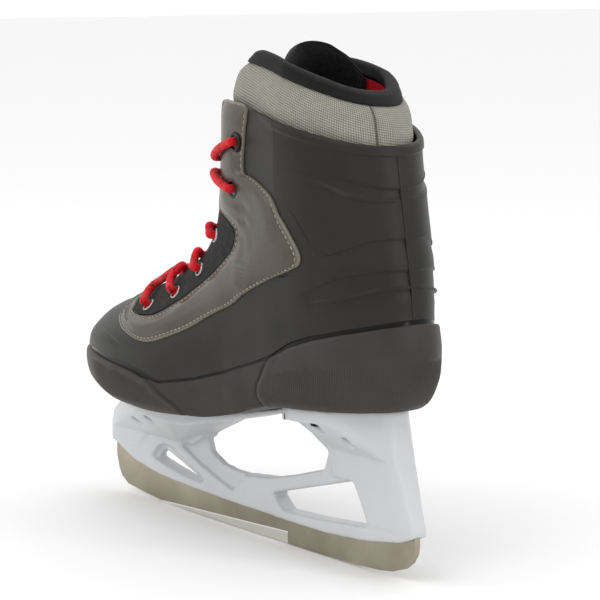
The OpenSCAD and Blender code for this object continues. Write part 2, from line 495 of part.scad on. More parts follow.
// after the top eyelet the end dips behind the crossing and is tucked inside the other flap
function tail(s) =
    let (E = over(5, s), M = ton(E[5][2] - 1, s > 0 ? 9 : 4.4), U = mir(S(.895, .188, shell_t + 3.2), -s))
    concat(E, [(E[5] + M) / 2 + [.6, 0, .3], M, (M + U) / 2 + [.6, 0, .3], U,
     mir(S(.88, .29, shell_t + 3.2), -s), mir(S(.85, .385, shell_t + 3.2), -s),
     mir(S(.80, .405, shell_t + 3.2), -s), mir(S(.74, .405, shell_t + 3.2), -s)]);
B1 = S(.585, .12, shell_t + 5);
bar = [B1, ton(121, 3), mir(B1, -1)];
function rev(l) = [for (i = [len(l) - 1:-1:0]) l[i]];
half_a = concat(chain(1), tail(-1));
half_b = concat(chain(-1), tail(1));
route = concat(rev(half_b), rev(turn(0, -1, mir(B1, -1))), rev(bar), turn(0, 1, B1), half_a);
function cr(a, b, c, d, f) = 0.5 * ((2 * b) + (c - a) * f + (2 * a - 5 * b + 4 * c - d) * f * f + (3 * b - a - 3 * c + d) * f * f * f);
function fine(l) = let (n = len(l)) [for (i = [0:n - 2], f = [0, .5]) cr(l[max(0, i - 1)], l[i], l[i + 1], l[min(n - 1, i + 2)], f), l[n - 1]];
module tube(l, r, sides) {
    n = len(l);
    tg = [for (i = [0:n - 1]) unit(l[min(n - 1, i + 1)] - l[max(0, i - 1)])];
    // a frame carried along the route without twist
    function frames(i, u, acc) = i == n ? acc :
        let (w = unit(u - tg[i] * (u * tg[i]))) frames(i + 1, w, concat(acc, [w]));
    us = frames(0, [0.1, 0.3, 1], []);
    pts = [for (i = [0:n - 1], k = [0:sides - 1]) let (a = 360 * k / sides) l[i] + r * (us[i] * cos(a) + cross(tg[i], us[i]) * sin(a))];
    polyhedron(pts, concat([[for (k = [0:sides - 1]) k]],
        [for (i = [0:n - 2], k = [0:sides - 1]) let (q = (k + 1) % sides)
            [i * sides + k, (i + 1) * sides + k, (i + 1) * sides + q, i * sides + q]],
        [[for (k = [sides - 1:-1:0]) (n - 1) * sides + k]]), convexity = 10);
}
fr = fine(route);
module lace() { color([.8, .05, .08]) tube(fr, lace_d / 2, 8); }
module lace_aglets() {
    color([.1, .1, .1]) for (e = [[fr[0], fr[1]], [fr[len(fr) - 1], fr[len(fr) - 2]]]) {
        n = unit(e[0] - e[1]);
        translate(e[0] + n * 0.1) rotate([0, acos(n[2]), atan2(n[1], n[0])]) cylinder(d = 3.6, h = 18);
    }
}
lace_len = [for (i = 1, a = norm(fr[1] - fr[0]); i < len(fr); i = i + 1, a = a + (i < len(fr) ? norm(fr[i] - fr[i - 1]) : 0)) a];

runner();
runner_screws();
runner_nuts();
blade_holder();
front_rivets();
rear_rivets();
rivet_washers();
cup_sole();
boot_shell();
eyestay_overlay();
eyelet_facing();
upper_eyelets();
lower_eyelets();
insole_board();
liner_body();
liner_lining();
liner_collar();
collar_binding();
footbed();
tongue_face();
tongue_pad();
tongue_binding();
lace();
lace_aglets();
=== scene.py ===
import math
import bpy
import numpy as np
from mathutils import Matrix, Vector


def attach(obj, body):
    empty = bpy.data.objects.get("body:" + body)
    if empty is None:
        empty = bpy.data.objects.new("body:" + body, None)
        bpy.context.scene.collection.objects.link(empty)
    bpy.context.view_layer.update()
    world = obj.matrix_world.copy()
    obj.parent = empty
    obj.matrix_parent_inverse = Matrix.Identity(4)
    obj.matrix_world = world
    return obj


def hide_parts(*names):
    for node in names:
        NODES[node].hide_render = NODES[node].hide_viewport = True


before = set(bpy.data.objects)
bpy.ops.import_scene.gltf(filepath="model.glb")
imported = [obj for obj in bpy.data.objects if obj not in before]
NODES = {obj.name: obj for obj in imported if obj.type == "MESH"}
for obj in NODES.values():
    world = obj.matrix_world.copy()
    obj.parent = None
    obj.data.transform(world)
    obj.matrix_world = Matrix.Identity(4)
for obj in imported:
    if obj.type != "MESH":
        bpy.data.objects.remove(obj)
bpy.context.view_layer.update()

D = bpy.data
SC = bpy.context.scene

# ---------------------------------------------------------------- camera
cd = D.cameras.new("camera")
cam = D.objects.new("camera", cd)
SC.collection.objects.link(cam)
cd.lens, cd.sensor_width = 156.44, 36.0
cd.dof.use_dof = False
cd.clip_start, cd.clip_end = 0.05, 50
cam.location = (-1.1023, 0.7317, 0.2987)
cam.rotation_euler = (Vector((-0.04179, 0, 0.12536)) - cam.location).to_track_quat("-Z", "Y").to_euler()
SC.camera = cam

# ---------------------------------------------------------------- the boot's surface
def tab(xs, ys, x):
    xs = np.asarray(xs, float); ys = np.asarray(ys, float); x = np.asarray(x, float)
    n = len(xs); h = np.diff(xs); dl = np.diff(ys) / h
    m = np.zeros(n); m[0] = dl[0]; m[-1] = dl[-1]
    for i in range(1, n - 1):
        m[i] = 0 if dl[i - 1] * dl[i] <= 0 else 2 * dl[i - 1] * dl[i] / (dl[i - 1] + dl[i])
    xx = np.clip(x, xs[0], xs[-1]); k = np.clip(np.searchsorted(xs, xx, side="right") - 1, 0, n - 2)
    t = (xx - xs[k]) / h[k]
    return ((2 * t**3 - 3 * t**2 + 1) * ys[k] + (t**3 - 2 * t**2 + t) * h[k] * m[k]
            + (-2 * t**3 + 3 * t**2) * ys[k + 1] + (t**3 - t**2) * h[k] * m[k + 1])

def ss(x):
    x = np.clip(x, 0, 1)
    return x * x * (3 - 2 * x)

VV = [0, .06, .14, .22, .30, .38, .46, .54, .62, .70, .78, .86, .94, 1, 1.06, 1.12, 1.2, 1.3]
FX = [132, 138.5, 141, 139, 132, 116, 92, 66, 42, 22, 10, 5, 3, 2, -1, -5, -14, -26]
FZ = [72, 76, 83, 92, 101, 109, 116, 124, 134, 146, 161, 180, 202, 222, 231, 238, 245, 252]
RX = [-133, -137, -140, -140.5, -139, -137, -135, -132.5, -130.5, -129, -127, -125, -123, -121.5, -119.5, -117.5, -113, -107]
RZ = [82, 90, 100, 110, 121, 130, 139, 148, 157, 166, 176, 187, 198, 206, 213, 219, 225.5, 233]
V2 = [0, .1, .2, .3, .4, .5, .6, .7, .8, .9, 1, 1.2]
LF = [72, 80, 80, 76, 66, 58, 52, 48, 46, 45, 44, 40]
LR = [52, 58, 58, 56, 54, 52, 50, 50, 50, 50, 46, 36]
WH = [33, 35, 35.5, 35, 35, 35.5, 36, 36, 36, 35.5, 34.5, 30]
WW = [35, 38, 38.5, 38, 37.5, 37.5, 37, 37, 37, 37, 37, 35]
WB = [45, 49, 48.5, 45, 41, 38, 35, 33, 33, 34, 34, 33]
TF = TR = 0.34

def S(v, t, off=0.0):
    v, t, off = np.broadcast_arrays(np.asarray(v, float), np.asarray(t, float), np.asarray(off, float))
    fx, fz, rx, rz = tab(VV, FX, v), tab(VV, FZ, v), tab(VV, RX, v), tab(VV, RZ, v)
    L = np.hypot(fx - rx, fz - rz)
    a = np.abs(t)
    lf = np.minimum(tab(V2, LF, v), .52 * L); lr = np.minimum(tab(V2, LR, v), .47 * L)
    f = a < TF; r = a > 1 - TR
    ph = np.where(f, a / TF, np.where(r, (1 - a) / TR, 1)) * np.pi / 2
    ph = np.clip(ph, 0, np.pi)
    al = np.where(f, L - lf + lf * np.cos(ph), np.where(r, lr - lr * np.cos(ph), (L - lf) + (lr - L + lf) * (a - TF) / (1 - TF - TR)))
    s = al / L
    W = tab([0, .15, .40, .68, 1], [0, 1, 2, 3, 3], s)
    wh, ww, wb = tab(V2, WH, v), tab(V2, WW, v), tab(V2, WB, v)
    w = np.where(W < 1, wh, np.where(W < 2, wh + (ww - wh) * (W - 1), ww + (wb - ww) * (W - 2)))
    pk = ss((s - .40) / .45)
    w = w * (1 - tab([0, .2, .34, .46, .58, .7, .85, 1], [0, 0, .16, .22, .16, .06, 0, 0], v) * pk)
    y = (w - off) * np.sin(ph) ** .92 * np.sign(t)
    al = off + al * (L - 2 * off) / L
    yc = -7 * np.clip((s - .55) / .45, 0, 1) ** 2 * np.clip((fx + 10) / 120, 0, 1)
    sag = tab([0, .16, .26, .33, .38, .50, .62, .74, .88, 1], [0, -1, -2, -5, -8.6, -13.2, -13.6, -12, -7, 0], s) * np.clip(1 - v / .24, 0, 1) ** 1.4
    bump = 4.5 * np.sin(np.pi * np.clip(s, 0, 1) ** 1.15) * ss((v - .72) / .28) + np.clip((v - 1) / .2, 0, 1.5) * 2.2 * y / 35
    zo = np.interp(v, [0, .18, .24, .31, .38, .55, .85, 1, 1.3], [0, 0, .3, .8, .95, .9, .2, 0, 0])
    return np.stack([rx + (fx - rx) / L * al, y + yc, rz + (fz - rz) / L * al + sag + bump - off * zo], -1)

def unit(a):
    a = np.asarray(a, float)
    return a / np.maximum(np.linalg.norm(a, axis=-1, keepdims=True), 1e-9)

def N(v, t):
    t = np.asarray(t, float)
    return unit(np.cross(S(v, t + .008) - S(v, t - .008), S(np.asarray(v) + .008, t) - S(np.asarray(v) - .008, t)))

VT = ([0, .25, .3, .345, .375, .395, .43, .49, .54, .59, .625, .66, .724, .8, .884, .96, 1],
      [.168, .166, .156, .146, .136, .122, .10, .118, .14, .17, .2, .256, .29, .316, .336, .348, .35])
TT = ([.56, .562, .567, .573, .58, .59, .60, .62, .66, .71, .76, .82, .88, .94, 1, 1.1],
      [0, .06, .085, .11, .132, .16, .178, .19, .193, .187, .18, .182, .184, .188, .195, .2])
vt = lambda t: np.interp(np.abs(t), *VT)
tt = lambda v: np.interp(v, *TT)
sx = lambda v, t: (1.2 + .8 * ss((np.abs(t) - .6) / .2)) * (1 - ss((v - vt(t)) / .2))

# ---------------------------------------------------------------- helpers
def make(name, V, F, mat, body="skate", rep=(), slot=None, attrs=None, midx=None, smooth=True, sharp=None):
    me = D.meshes.new(name)
    me.from_pydata((np.asarray(V, float) * .001).tolist(), [], F if isinstance(F, list) else F.tolist())
    o = D.objects.new(name, me)
    SC.collection.objects.link(o)
    for m in (mat if isinstance(mat, (list, tuple)) else [mat]):
        me.materials.append(m)
    if midx is not None:
        me.polygons.foreach_set("material_index", np.asarray(midx, np.int32))
    if smooth:
        me.polygons.foreach_set("use_smooth", np.ones(len(me.polygons), bool))
    for k, a in (attrs or {}).items():
        a = np.asarray(a, float)
        if a.ndim == 1:
            at = me.attributes.new(k, "FLOAT", "POINT"); at.data.foreach_set("value", a.astype("f"))
        else:
            at = me.attributes.new(k, "FLOAT_VECTOR", "POINT"); at.data.foreach_set("vector", a.astype("f").ravel())
    me.validate(); me.update()
    if sharp:
        me.set_sharp_from_angle(angle=math.radians(sharp))
    if rep:
        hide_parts(*rep)
    if body:
        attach(o, body)
    return o

def gf(R, C, base=0, wrap=False, flip=False):
    j, i = np.meshgrid(np.arange(R - 1), np.arange(C if wrap else C - 1), indexing="ij")
    i2 = (i + 1) % C
    q = np.stack([j * C + i, j * C + i2, (j + 1) * C + i2, (j + 1) * C + i], -1).reshape(-1, 4) + base
    return q[:, ::-1] if flip else q

class Joined:
    """Several grids in one mesh."""
    def __init__(self): self.v = []; self.f = []; self.n = 0; self.m = []; self.at = {}
    def add(self, P, m=0, wrap=False, flip=False, **at):
        R, C = P.shape[:2]
        self.v.append(P.reshape(-1, 3)); f = gf(R, C, self.n, wrap, flip).tolist(); self.f += f; self.m += [m] * len(f)
        for k, a in at.items():
            self.at.setdefault(k, []).append(np.broadcast_to(a, (R, C) + np.shape(a)[2:]).reshape(R * C, *np.shape(a)[2:]))
        self.n += R * C
    def raw(self, V, F, m=0, **at):
        V = np.asarray(V, float)
        self.v.append(V); self.f += [[int(i) + self.n for i in f] for f in F]; self.m += [m] * len(F)
        for k, a in at.items():
            self.at.setdefault(k, []).append(np.broadcast_to(a, (len(V),) + np.shape(a)[1:]))
        self.n += len(V)
    def make(self, name, mat, **kw):
        at = {k: np.concatenate(a) for k, a in self.at.items()}
        return make(name, np.concatenate(self.v), self.f, mat, midx=self.m, attrs=at, **kw)

def cr_path(P, n):
    """n points at equal steps along a Catmull-Rom curve through P."""
    P = np.asarray(P, float); m = len(P)
    Q = np.concatenate([[2 * P[0] - P[1]], P, [2 * P[-1] - P[-2]]])
    out = []
    for i in range(m - 1):
        a, b, c, d = Q[i:i + 4]
        f = np.linspace(0, 1, 16, endpoint=False)[:, None]
        out.append(.5 * ((2 * b) + (c - a) * f + (2 * a - 5 * b + 4 * c - d) * f * f + (3 * b - a - 3 * c + d) * f**3))
    out = np.concatenate(out + [P[-1:]])
    s = np.concatenate([[0], np.cumsum(np.linalg.norm(np.diff(out, axis=0), axis=1))])
    q = np.linspace(0, s[-1], n) if isinstance(n, int) else np.asarray(n)
    return np.stack([np.interp(q, s, out[:, k]) for k in range(P.shape[1])], -1), s[-1]

def frames(P):
    T = unit(np.gradient(P, axis=0))
    U = np.zeros_like(P); u = np.array([.1, .3, 1.])
    for i in range(len(P)):
        u = unit(u - T[i] * (u @ T[i])); U[i] = u
    return T, U, np.cross(T, U)

def tube(P, r, sides=8, caps=True):
    P = np.asarray(P, float); T, U, B = frames(P)
    a = np.arange(sides) / sides * 2 * np.pi
    R = np.broadcast_to(np.asarray(r, float).reshape(-1, 1), (len(P), sides)) if np.ndim(r) < 2 else r
    V = P[:, None] + R[..., None] * (U[:, None] * np.cos(a)[None, :, None] + B[:, None] * np.sin(a)[None, :, None])
    F = gf(len(P), sides, 0, True).tolist()
    if caps:
        F += [list(range(sides))[::-1], [(len(P) - 1) * sides + k for k in range(sides)]]
    return V.reshape(-1, 3), F

def dist_line(X, L):
    """Distance from points X to polyline L."""
    X = X.reshape(-1, 3); best = np.full(len(X), 1e9)
    for a, b in zip(L[:-1], L[1:]):
        ab = b - a; k = np.clip(((X - a) @ ab) / (ab @ ab + 1e-9), 0, 1)
        best = np.minimum(best, np.linalg.norm(X - a - k[:, None] * ab, axis=1))
    return best

# ---------------------------------------------------------------- materials
def mat(name, color, rough=.5, metal=0., spec=.5, coat=0., coat_r=.1, sheen=0., sheen_r=.5, aniso=0.):
    m = D.materials.new(name); m.use_nodes = True
    b = m.node_tree.nodes["Principled BSDF"]
    b.inputs["Base Color"].default_value = (*color, 1)
    b.inputs["Roughness"].default_value = rough
    b.inputs["Metallic"].default_value = metal
    b.inputs["Specular IOR Level"].default_value = spec
    b.inputs["Coat Weight"].default_value = coat
    b.inputs["Coat Roughness"].default_value = coat_r
    b.inputs["Sheen Weight"].default_value = sheen
    b.inputs["Sheen Roughness"].default_value = sheen_r
    b.inputs["Anisotropic"].default_value = aniso
    return m

class NT:
    """Small node-building helper."""
    def __init__(self, m):
        self.t = m.node_tree; self.b = self.t.nodes["Principled BSDF"]; self.last = None
    def node(self, kind, **kw):
        n = self.t.nodes.new(kind)
        for k, v in kw.items(): setattr(n, k, v)
        return n
    def put(self, sock, val):
        if isinstance(val, bpy.types.NodeSocket): self.t.links.new(val, sock)
        else: sock.default_value = val
    def math(self, op, *a, clamp=False):
        n = self.node("ShaderNodeMath", operation=op, use_clamp=clamp)
        for i, x in enumerate(a): self.put(n.inputs[i], x)
        return n.outputs[0]
    def coord(self): return self.node("ShaderNodeTexCoord").outputs["Object"]
    def attr(self, name, out="Vector"):
        n = self.node("ShaderNodeAttribute", attribute_name=name)
        return n.outputs[out]
    def sep(self, v):
        n = self.node("ShaderNodeSeparateXYZ"); self.put(n.inputs[0], v); return n.outputs
    def comb(self, x, y, z=0.):
        n = self.node("ShaderNodeCombineXYZ")
        for i, a in enumerate((x, y, z)): self.put(n.inputs[i], a)
        return n.outputs[0]
    def scale(self, v, s):
        n = self.node("ShaderNodeVectorMath", operation="MULTIPLY"); self.put(n.inputs[0], v); self.put(n.inputs[1], s); return n.outputs[0]
    def noise(self, v, scale, detail=3., rough=.5):
        n = self.node("ShaderNodeTexNoise"); self.put(n.inputs["Vector"], v)
        n.inputs["Scale"].default_value = scale; n.inputs["Detail"].default_value = detail; n.inputs["Roughness"].default_value = rough
        return n.outputs["Fac"]
    def vor(self, v, scale):
        n = self.node("ShaderNodeTexVoronoi"); self.put(n.inputs["Vector"], v); n.inputs["Scale"].default_value = scale
        return n.outputs["Distance"]
    def ramp(self, f, stops):
        n = self.node("ShaderNodeValToRGB"); self.put(n.inputs[0], f)
        e = n.color_ramp.elements
        while len(e) < len(stops): e.new(.5)
        for k, (p, c) in zip(e, stops): k.position = p; k.color = (*c, 1) if len(c) == 3 else c
        return n.outputs["Color"]
    def mix(self, f, a, b):
        n = self.node("ShaderNodeMix", data_type="RGBA"); self.put(n.inputs[0], f); self.put(n.inputs[6], a if isinstance(a, bpy.types.NodeSocket) else (*a, 1))
        self.put(n.inputs[7], b if isinstance(b, bpy.types.NodeSocket) else (*b, 1)); return n.outputs[2]
    def color(self, c): self.put(self.b.inputs["Base Color"], c)
    def rough(self, r): self.put(self.b.inputs["Roughness"], r)
    def bump(self, h, dist, strength=1.):
        n = self.node("ShaderNodeBump"); n.inputs["Strength"].default_value = strength; n.inputs["Distance"].default_value = dist
        self.put(n.inputs["Height"], h)
        if self.last is not None: self.put(n.inputs["Normal"], self.last)
        self.last = n.outputs[0]; self.put(self.b.inputs["Normal"], self.last)

def m_shell():
    m = mat("shell_rubber", (.014, .013, .012), .38, spec=.24); n = NT(m); c = n.coord()
    f = n.noise(c, 38, 4); n.color(n.ramp(f, [(.3, (.0115, .0105, .0096)), (.7, (.0185, .0168, .0152))]))
    n.rough(n.math("MULTIPLY_ADD", n.noise(c, 22, 3), .16, .34))
    n.bump(n.noise(c, 900, 3), .00006); n.bump(n.noise(c, 45, 3), .00045, .35)
    return m
def m_sole():
    m = mat("sole_rubber", (.024, .0215, .019), .5, spec=.22); n = NT(m); c = n.coord()
    f = n.noise(c, 30, 4); n.color(n.ramp(f, [(.3, (.028, .0245, .021)), (.7, (.042, .037, .032))]))
    st = n.attr("stip", "Fac")
    n.rough(n.math("MULTIPLY_ADD", st, .14, .46))
    n.bump(n.math("MULTIPLY", n.noise(c, 1500, 2), st), .00022, .9); n.bump(n.noise(c, 900, 2), .00005)
    return m
def m_groove():
    # near-black and glossy: the gloss is the rubber's own, the near-black is painted shade in the gap between shell and
    # sole
    m = mat("groove_gloss_and_shade", (.004, .0038, .0036), .22, spec=.16); n = NT(m)
    n.bump(n.noise(n.coord(), 60, 2), .0003, .25); return m
def m_overlay():
    m = mat("overlay_pu", (.060, .050, .038), .26, spec=.34, coat=.12, coat_r=.15); n = NT(m); c = n.coord()
    f = n.noise(c, 26, 5, .6); base = n.ramp(f, [(.3, (.044, .034, .0225)), (.7, (.068, .055, .038))])
    e = n.attr("edge", "Fac"); n.color(n.mix(e, base, (.17, .152, .115)))
    n.rough(n.math("MULTIPLY_ADD", n.noise(c, 60, 3), .22, .18))
    n.bump(n.noise(c, 60, 4, .6), .0008, .35); n.bump(n.noise(c, 700, 3), .00008, .6)
    return m
def m_facing():
    m = mat("facing_nubuck", (.022, .022, .022), .85, spec=.12, sheen=.03, sheen_r=.5); n = NT(m); c = n.coord()
    n.color(n.ramp(n.noise(c, 320, 4), [(.3, (.016, .016, .0158)), (.7, (.030, .030, .0295))]))
    n.bump(n.noise(c, 1400, 3), .0002); return m
def m_thread():
    m = mat("stitch_thread", (.33, .31, .25), .6, spec=.2, sheen=.05); n = NT(m)
    n.color(n.ramp(n.noise(n.coord(), 300, 2), [(.3, (.22, .21, .165)), (.7, (.38, .365, .30))])); n.bump(n.noise(n.coord(), 3000, 2), .0001); return m
def m_lace():
    m = mat("lace_red", (.42, .004, .010), .5, spec=.2, sheen=.04, sheen_r=.4); n = NT(m)
    k = n.attr("fleck", "Fac"); f = n.noise(n.coord(), 500, 2)
    n.color(n.mix(k, n.ramp(f, [(.25, (.42, .002, .008)), (.75, (.78, .010, .018))]), (.02, .012, .012)))
    u = n.sep(n.attr("uvm")); w = n.math("SINE", n.math("MULTIPLY", n.math("ADD", u[0], u[1]), 9.))
    n.bump(w, .00005, .5); return m
def weave(n, px, py, amp, dark, light, dist):
    """Basket weave on the uvm attribute (mm); the colour goes dark where the threads sit low, as painted shade."""
    u = n.sep(n.attr("uvm"))
    x = n.math("MULTIPLY", u[0], math.pi / px); y = n.math("MULTIPLY", u[1], math.pi / py)
    a = n.math("ABSOLUTE", n.math("SINE", x)); b = n.math("ABSOLUTE", n.math("SINE", y))
    ck = n.math("GREATER_THAN", n.math("MULTIPLY", n.math("SINE", x), n.math("SINE", y)), 0.)
    rx = n.math("MULTIPLY_ADD", n.math("ABSOLUTE", n.math("SINE", n.math("MULTIPLY", x, 3.))), .25, .75)
    ry = n.math("MULTIPLY_ADD", n.math("ABSOLUTE", n.math("SINE", n.math("MULTIPLY", y, 3.))), .25, .75)
    h1 = n.math("MULTIPLY", n.math("POWER", a, .5), n.math("MULTIPLY", n.math("POWER", b, .35), rx))
    h2 = n.math("MULTIPLY", n.math("POWER", b, .5), n.math("MULTIPLY", n.math("POWER", a, .35), ry))
    h = n.math("ADD", n.math("MULTIPLY", h1, ck), n.math("MULTIPLY", h2, n.math("SUBTRACT", 1., ck)))
    # painted shade: dark in the low parts between the threads
    n.color(n.mix(h, dark, n.ramp(n.noise(n.coord(), 260, 3), [(.3, tuple(.88 * q for q in light)), (.7, light)])))
    n.bump(h, dist, amp)
def m_collar():
    m = mat("collar_nylon", (.30, .30, .25), .62, spec=.25, sheen=.05); n = NT(m)
    weave(n, 1.25, 1.05, .9, (.10, .10, .078), (.455, .455, .385), .0005); return m
def m_binding():
    m = mat("binding_tape", (.008, .008, .008), .6, spec=.18, sheen=.02, sheen_r=.4); n = NT(m)
    u = n.sep(n.attr("uvm")); w = n.math("ABSOLUTE", n.math("SINE", n.math("MULTIPLY", n.math("ADD", u[0], n.math("MULTIPLY", u[1], .8)), 2.6)))
    # painted shade: the colour goes dark in the troughs between the ribs
    n.color(n.mix(w, (.0015, .0015, .0015), (.011, .011, .0115))); n.bump(w, .0005, .9); n.bump(n.noise(n.coord(), 1500, 2), .00015); return m
def m_mesh():
    m = mat("tongue_mesh", (.008, .008, .008), .6, spec=.18, sheen=.02); n = NT(m)
    u = n.sep(n.attr("uvm")); w = n.math("ABSOLUTE", n.math("SINE", n.math("MULTIPLY", n.math("ADD", u[1], n.math("MULTIPLY", u[0], -.45)), 2.3)))
    x = n.math("ABSOLUTE", n.math("SINE", n.math("MULTIPLY", u[0], 2.9)))
    h = n.math("MULTIPLY", w, n.math("MULTIPLY_ADD", x, .5, .5))
    # painted shade: the colour goes dark in the troughs between the ribs
    n.color(n.mix(h, (.0015, .0015, .0015), (.016, .016, .017))); n.bump(h, .0006, .9); return m
def m_felt(name, a, b, sheen=.03, bump=.0005):
    m = mat(name, a, .95, spec=.05, sheen=sheen, sheen_r=.55); n = NT(m); c = n.coord()
    n.color(n.ramp(n.noise(c, 420, 5, .7), [(.3, a), (.72, b)])); n.bump(n.noise(c, 700, 5, .75), bump, .9); n.bump(n.noise(c, 110, 3), .0008, .4); return m
def m_holder():
    m = mat("holder_plastic", (.56, .565, .575), .34, spec=.4); n = NT(m); c = n.coord()
    # painted shade: the rivet recesses are coloured near-black from the recess mask
    n.color(n.mix(n.attr("recess", "Fac"), n.ramp(n.noise(c, 18, 3), [(.3, (.515, .52, .53)), (.7, (.56, .565, .575))]), (.012, .012, .013)))
    n.rough(n.math("MULTIPLY_ADD", n.noise(c, 30, 3), .14, .28)); n.bump(n.noise(c, 500, 3), .00005, .6); return m
def m_steel(name="steel", base=(.50, .485, .43), r=.30):
    m = mat(name, base, r, metal=1., aniso=.4); n = NT(m); c = n.coord()
    s = n.noise(n.scale(c, (60., 1., 2200.)), 1., 3); s2 = n.noise(c, 26, 4)
    return m, n, c, s, s2
def m_runner():
    m, n, c, s, s2 = m_steel("runner_steel")
    x = n.sep(c)
    # the ground lower face: brighter, between two x and below a sloping line
    inx = n.math("MULTIPLY", n.math("GREATER_THAN", x[0], -.033), n.math("LESS_THAN", x[0], .088))
    top = n.math("MULTIPLY_ADD", n.math("SUBTRACT", .088, x[0]), .0415, .0008)
    z = x[2]
    inz = n.math("LESS_THAN", z, top)
    k = n.math("MULTIPLY", inx, inz)
    # a thin near-white line along the top edge of the ground face: painted highlight
    rim = n.math("MULTIPLY", inx, n.math("LESS_THAN", n.math("ABSOLUTE", n.math("SUBTRACT", z, top)), .00035))
    col = n.ramp(s2, [(.3, (.27, .24, .18)), (.7, (.41, .37, .29))])
    col = n.mix(k, col, (.74, .73, .67)); col = n.mix(rim, col, (.95, .95, .93)); n.color(col)
    n.rough(n.math("MULTIPLY_ADD", s, .14, n.math("SUBTRACT", .30, n.math("MULTIPLY", k, .12))))
    n.bump(s, .00004, .6); return m
def m_metal(name, base, r):
    m, n, c, s, s2 = m_steel(name, base, r)
    n.color(n.ramp(s2, [(.3, tuple(.85 * q for q in base)), (.7, base)])); n.rough(n.math("MULTIPLY_ADD", s2, .2, r - .08)); n.bump(n.noise(c, 900, 2), .00004); return m
def m_plain(name, a, b, r, scale=200, bump=.0001, **kw):
    m = mat(name, a, r, **kw); n = NT(m); c = n.coord(); n.color(n.ramp(n.noise(c, scale, 3), [(.3, a), (.7, b)])); n.bump(n.noise(c, scale * 3, 3), bump); return m

M = dict(shell=m_shell(), sole=m_sole(), groove=m_groove(), overlay=m_overlay(), facing=m_facing(), thread=m_thread(), lace=m_lace(),
         collar=m_collar(), binding=m_binding(), mesh=m_mesh(), felt=m_felt("tongue_felt", (.0045, .0045, .0048), (.017, .017, .018), .06),
         red=m_felt("red_felt", (.42, .004, .010), (.66, .012, .022), .05, .0006), black=m_felt("inner_band", (.003, .003, .003), (.010, .010, .010), .03, .0004),
         holder=m_holder(), runner=m_runner(), zinc=m_metal("zinc", (.62, .62, .62), .35), rivet=m_metal("rivet_steel", (.085, .085, .085), .5),
         eyeb=m_metal("eyelet_black", (.035, .034, .032), .3), eyeg=m_metal("eyelet_gun", (.42, .42, .42), .3),
         board=m_plain("board", (.30, .22, .14), (.40, .31, .20), .85), foam=m_plain("liner_foam", (.03, .03, .03), (.05, .05, .05), .9),
         footbed=m_felt("footbed_foam", (.10, .10, .11), (.16, .16, .17)), aglet=m_plain("aglet_plastic", (.02, .02, .02), (.03, .03, .03), .25))

# ---------------------------------------------------------------- lace
EL = [(.382, .346), (.474, .354), (.608, .300), (.740, .230)]
EU = [(.852, .314), (.944, .318)]
EY = EL + EU
LE = [(.585, .135), (.604, .18), (.675, .192), (.765, .18), (.885, .184), (.915, .187)]
LU = [(.60, .178), (.59, .15), (.64, .193), (.715, .186), (.82, .182), (.915, .187)]
TP = np.array([[64, 111], [50, 117.5], [33, 125], [16, 134.5], [1, 148], [-8, 166], [-12.5, 186], [-17, 205], [-24, 222], [-34, 238], [-44, 250], [-49, 256.5]], float)
SHT = 3.4
def mir(p, s): return np.array([p[0], p[1] * s, p[2]])
def hole(k, s, d):
    e = EY[k]; return mir(S(e[0], e[1], -1.5) + N(e[0], e[1]) * d, s)
def tz(z): return np.interp(z, TP[:, 1], TP[:, 0])
def ton(z, d):
    a = np.array([tz(z + 5) - tz(z - 5), 10.]); a /= np.hypot(*a)
    return np.array([tz(z) + a[1] * d, 0, z - a[0] * d])
def outp(e, s, d): return mir(S(e[0], e[1], -1.6) + N(e[0], e[1]) * d, s)
MH = [2.6, 2.4, 2.2, 2.3, 2.6, 2.6]
def over(k, s):
    e = LE[k]; m = ((EY[k][0] + e[0]) / 2, (EY[k][1] + e[1]) / 2)
    return [hole(k, s, .8), hole(k, s, 2.5), outp(m, s, MH[k]), outp((e[0], e[1] + .012), s, 2.7), mir(S(e[0], e[1] - .024, -.1), s)]
def turn(k, s, U):
    a = hole(k, s, -7.9); d = unit(U - a)
    return [a + d * 3.6, a, hole(k, s, -5.8)]
def cross_over(k, s):
    if k == 0:
        U = mir(S(.592, .146, SHT + 2.6), -s)
        return [hole(0, s, .8), hole(0, s, 2.5), mir(S(.44, .29, -3.1), s), mir(S(.492, .23, -3.1), s), mir(S(.526, .13, -3.1), s),
                mir(S(.548, .02, -7.2 if s > 0 else -3.1), s), mir(S(.575, .055, -2.6), -s), mir(S(.585, .11, .5), -s), U] + turn(1, -s, U)
    u = LU[k + 1]; E = over(k, s); U = mir(S(u[0], u[1] - .012, SHT + 2.6), -s)
    Mi = ton((E[4][2] + U[2]) / 2, 8.6 if s > 0 else 4.2); o = np.array([.6, 0, .4])
    return E + [(E[4] + Mi) / 2 + o, Mi, (Mi + U) / 2 + o, U] + turn(k + 1, -s, U)
def chain(s): return [p for k in range(5) for p in cross_over(k, s if k % 2 == 0 else -s)]
def tail(s):
    E = over(5, s); Mi = ton(E[4][2] - 1, 8.6 if s > 0 else 4.2); U = mir(S(.895, .188, SHT + 2.8), -s); o = np.array([.6, 0, .3])
    return E + [(E[4] + Mi) / 2 + o, Mi, (Mi + U) / 2 + o, U, mir(S(.88, .29, SHT + 2.8), -s), mir(S(.85, .385, SHT + 2.8), -s), mir(S(.80, .405, SHT + 2.8), -s), mir(S(.74, .405, SHT + 2.8), -s)]
B1 = S(.585, .12, SHT + 4.6)
bar = [B1, ton(121, 3), mir(B1, -1)]
half_a = chain(1) + tail(-1)
half_b = chain(-1) + tail(1)
route = half_b[::-1] + turn(0, -1, mir(B1, -1))[::-1] + bar[::-1] + turn(0, 1, B1) + half_a
LP, LLEN = cr_path(route, 10)
LP, LLEN = cr_path(route, np.arange(0, LLEN, .6))
LACE_MM = float(LLEN)
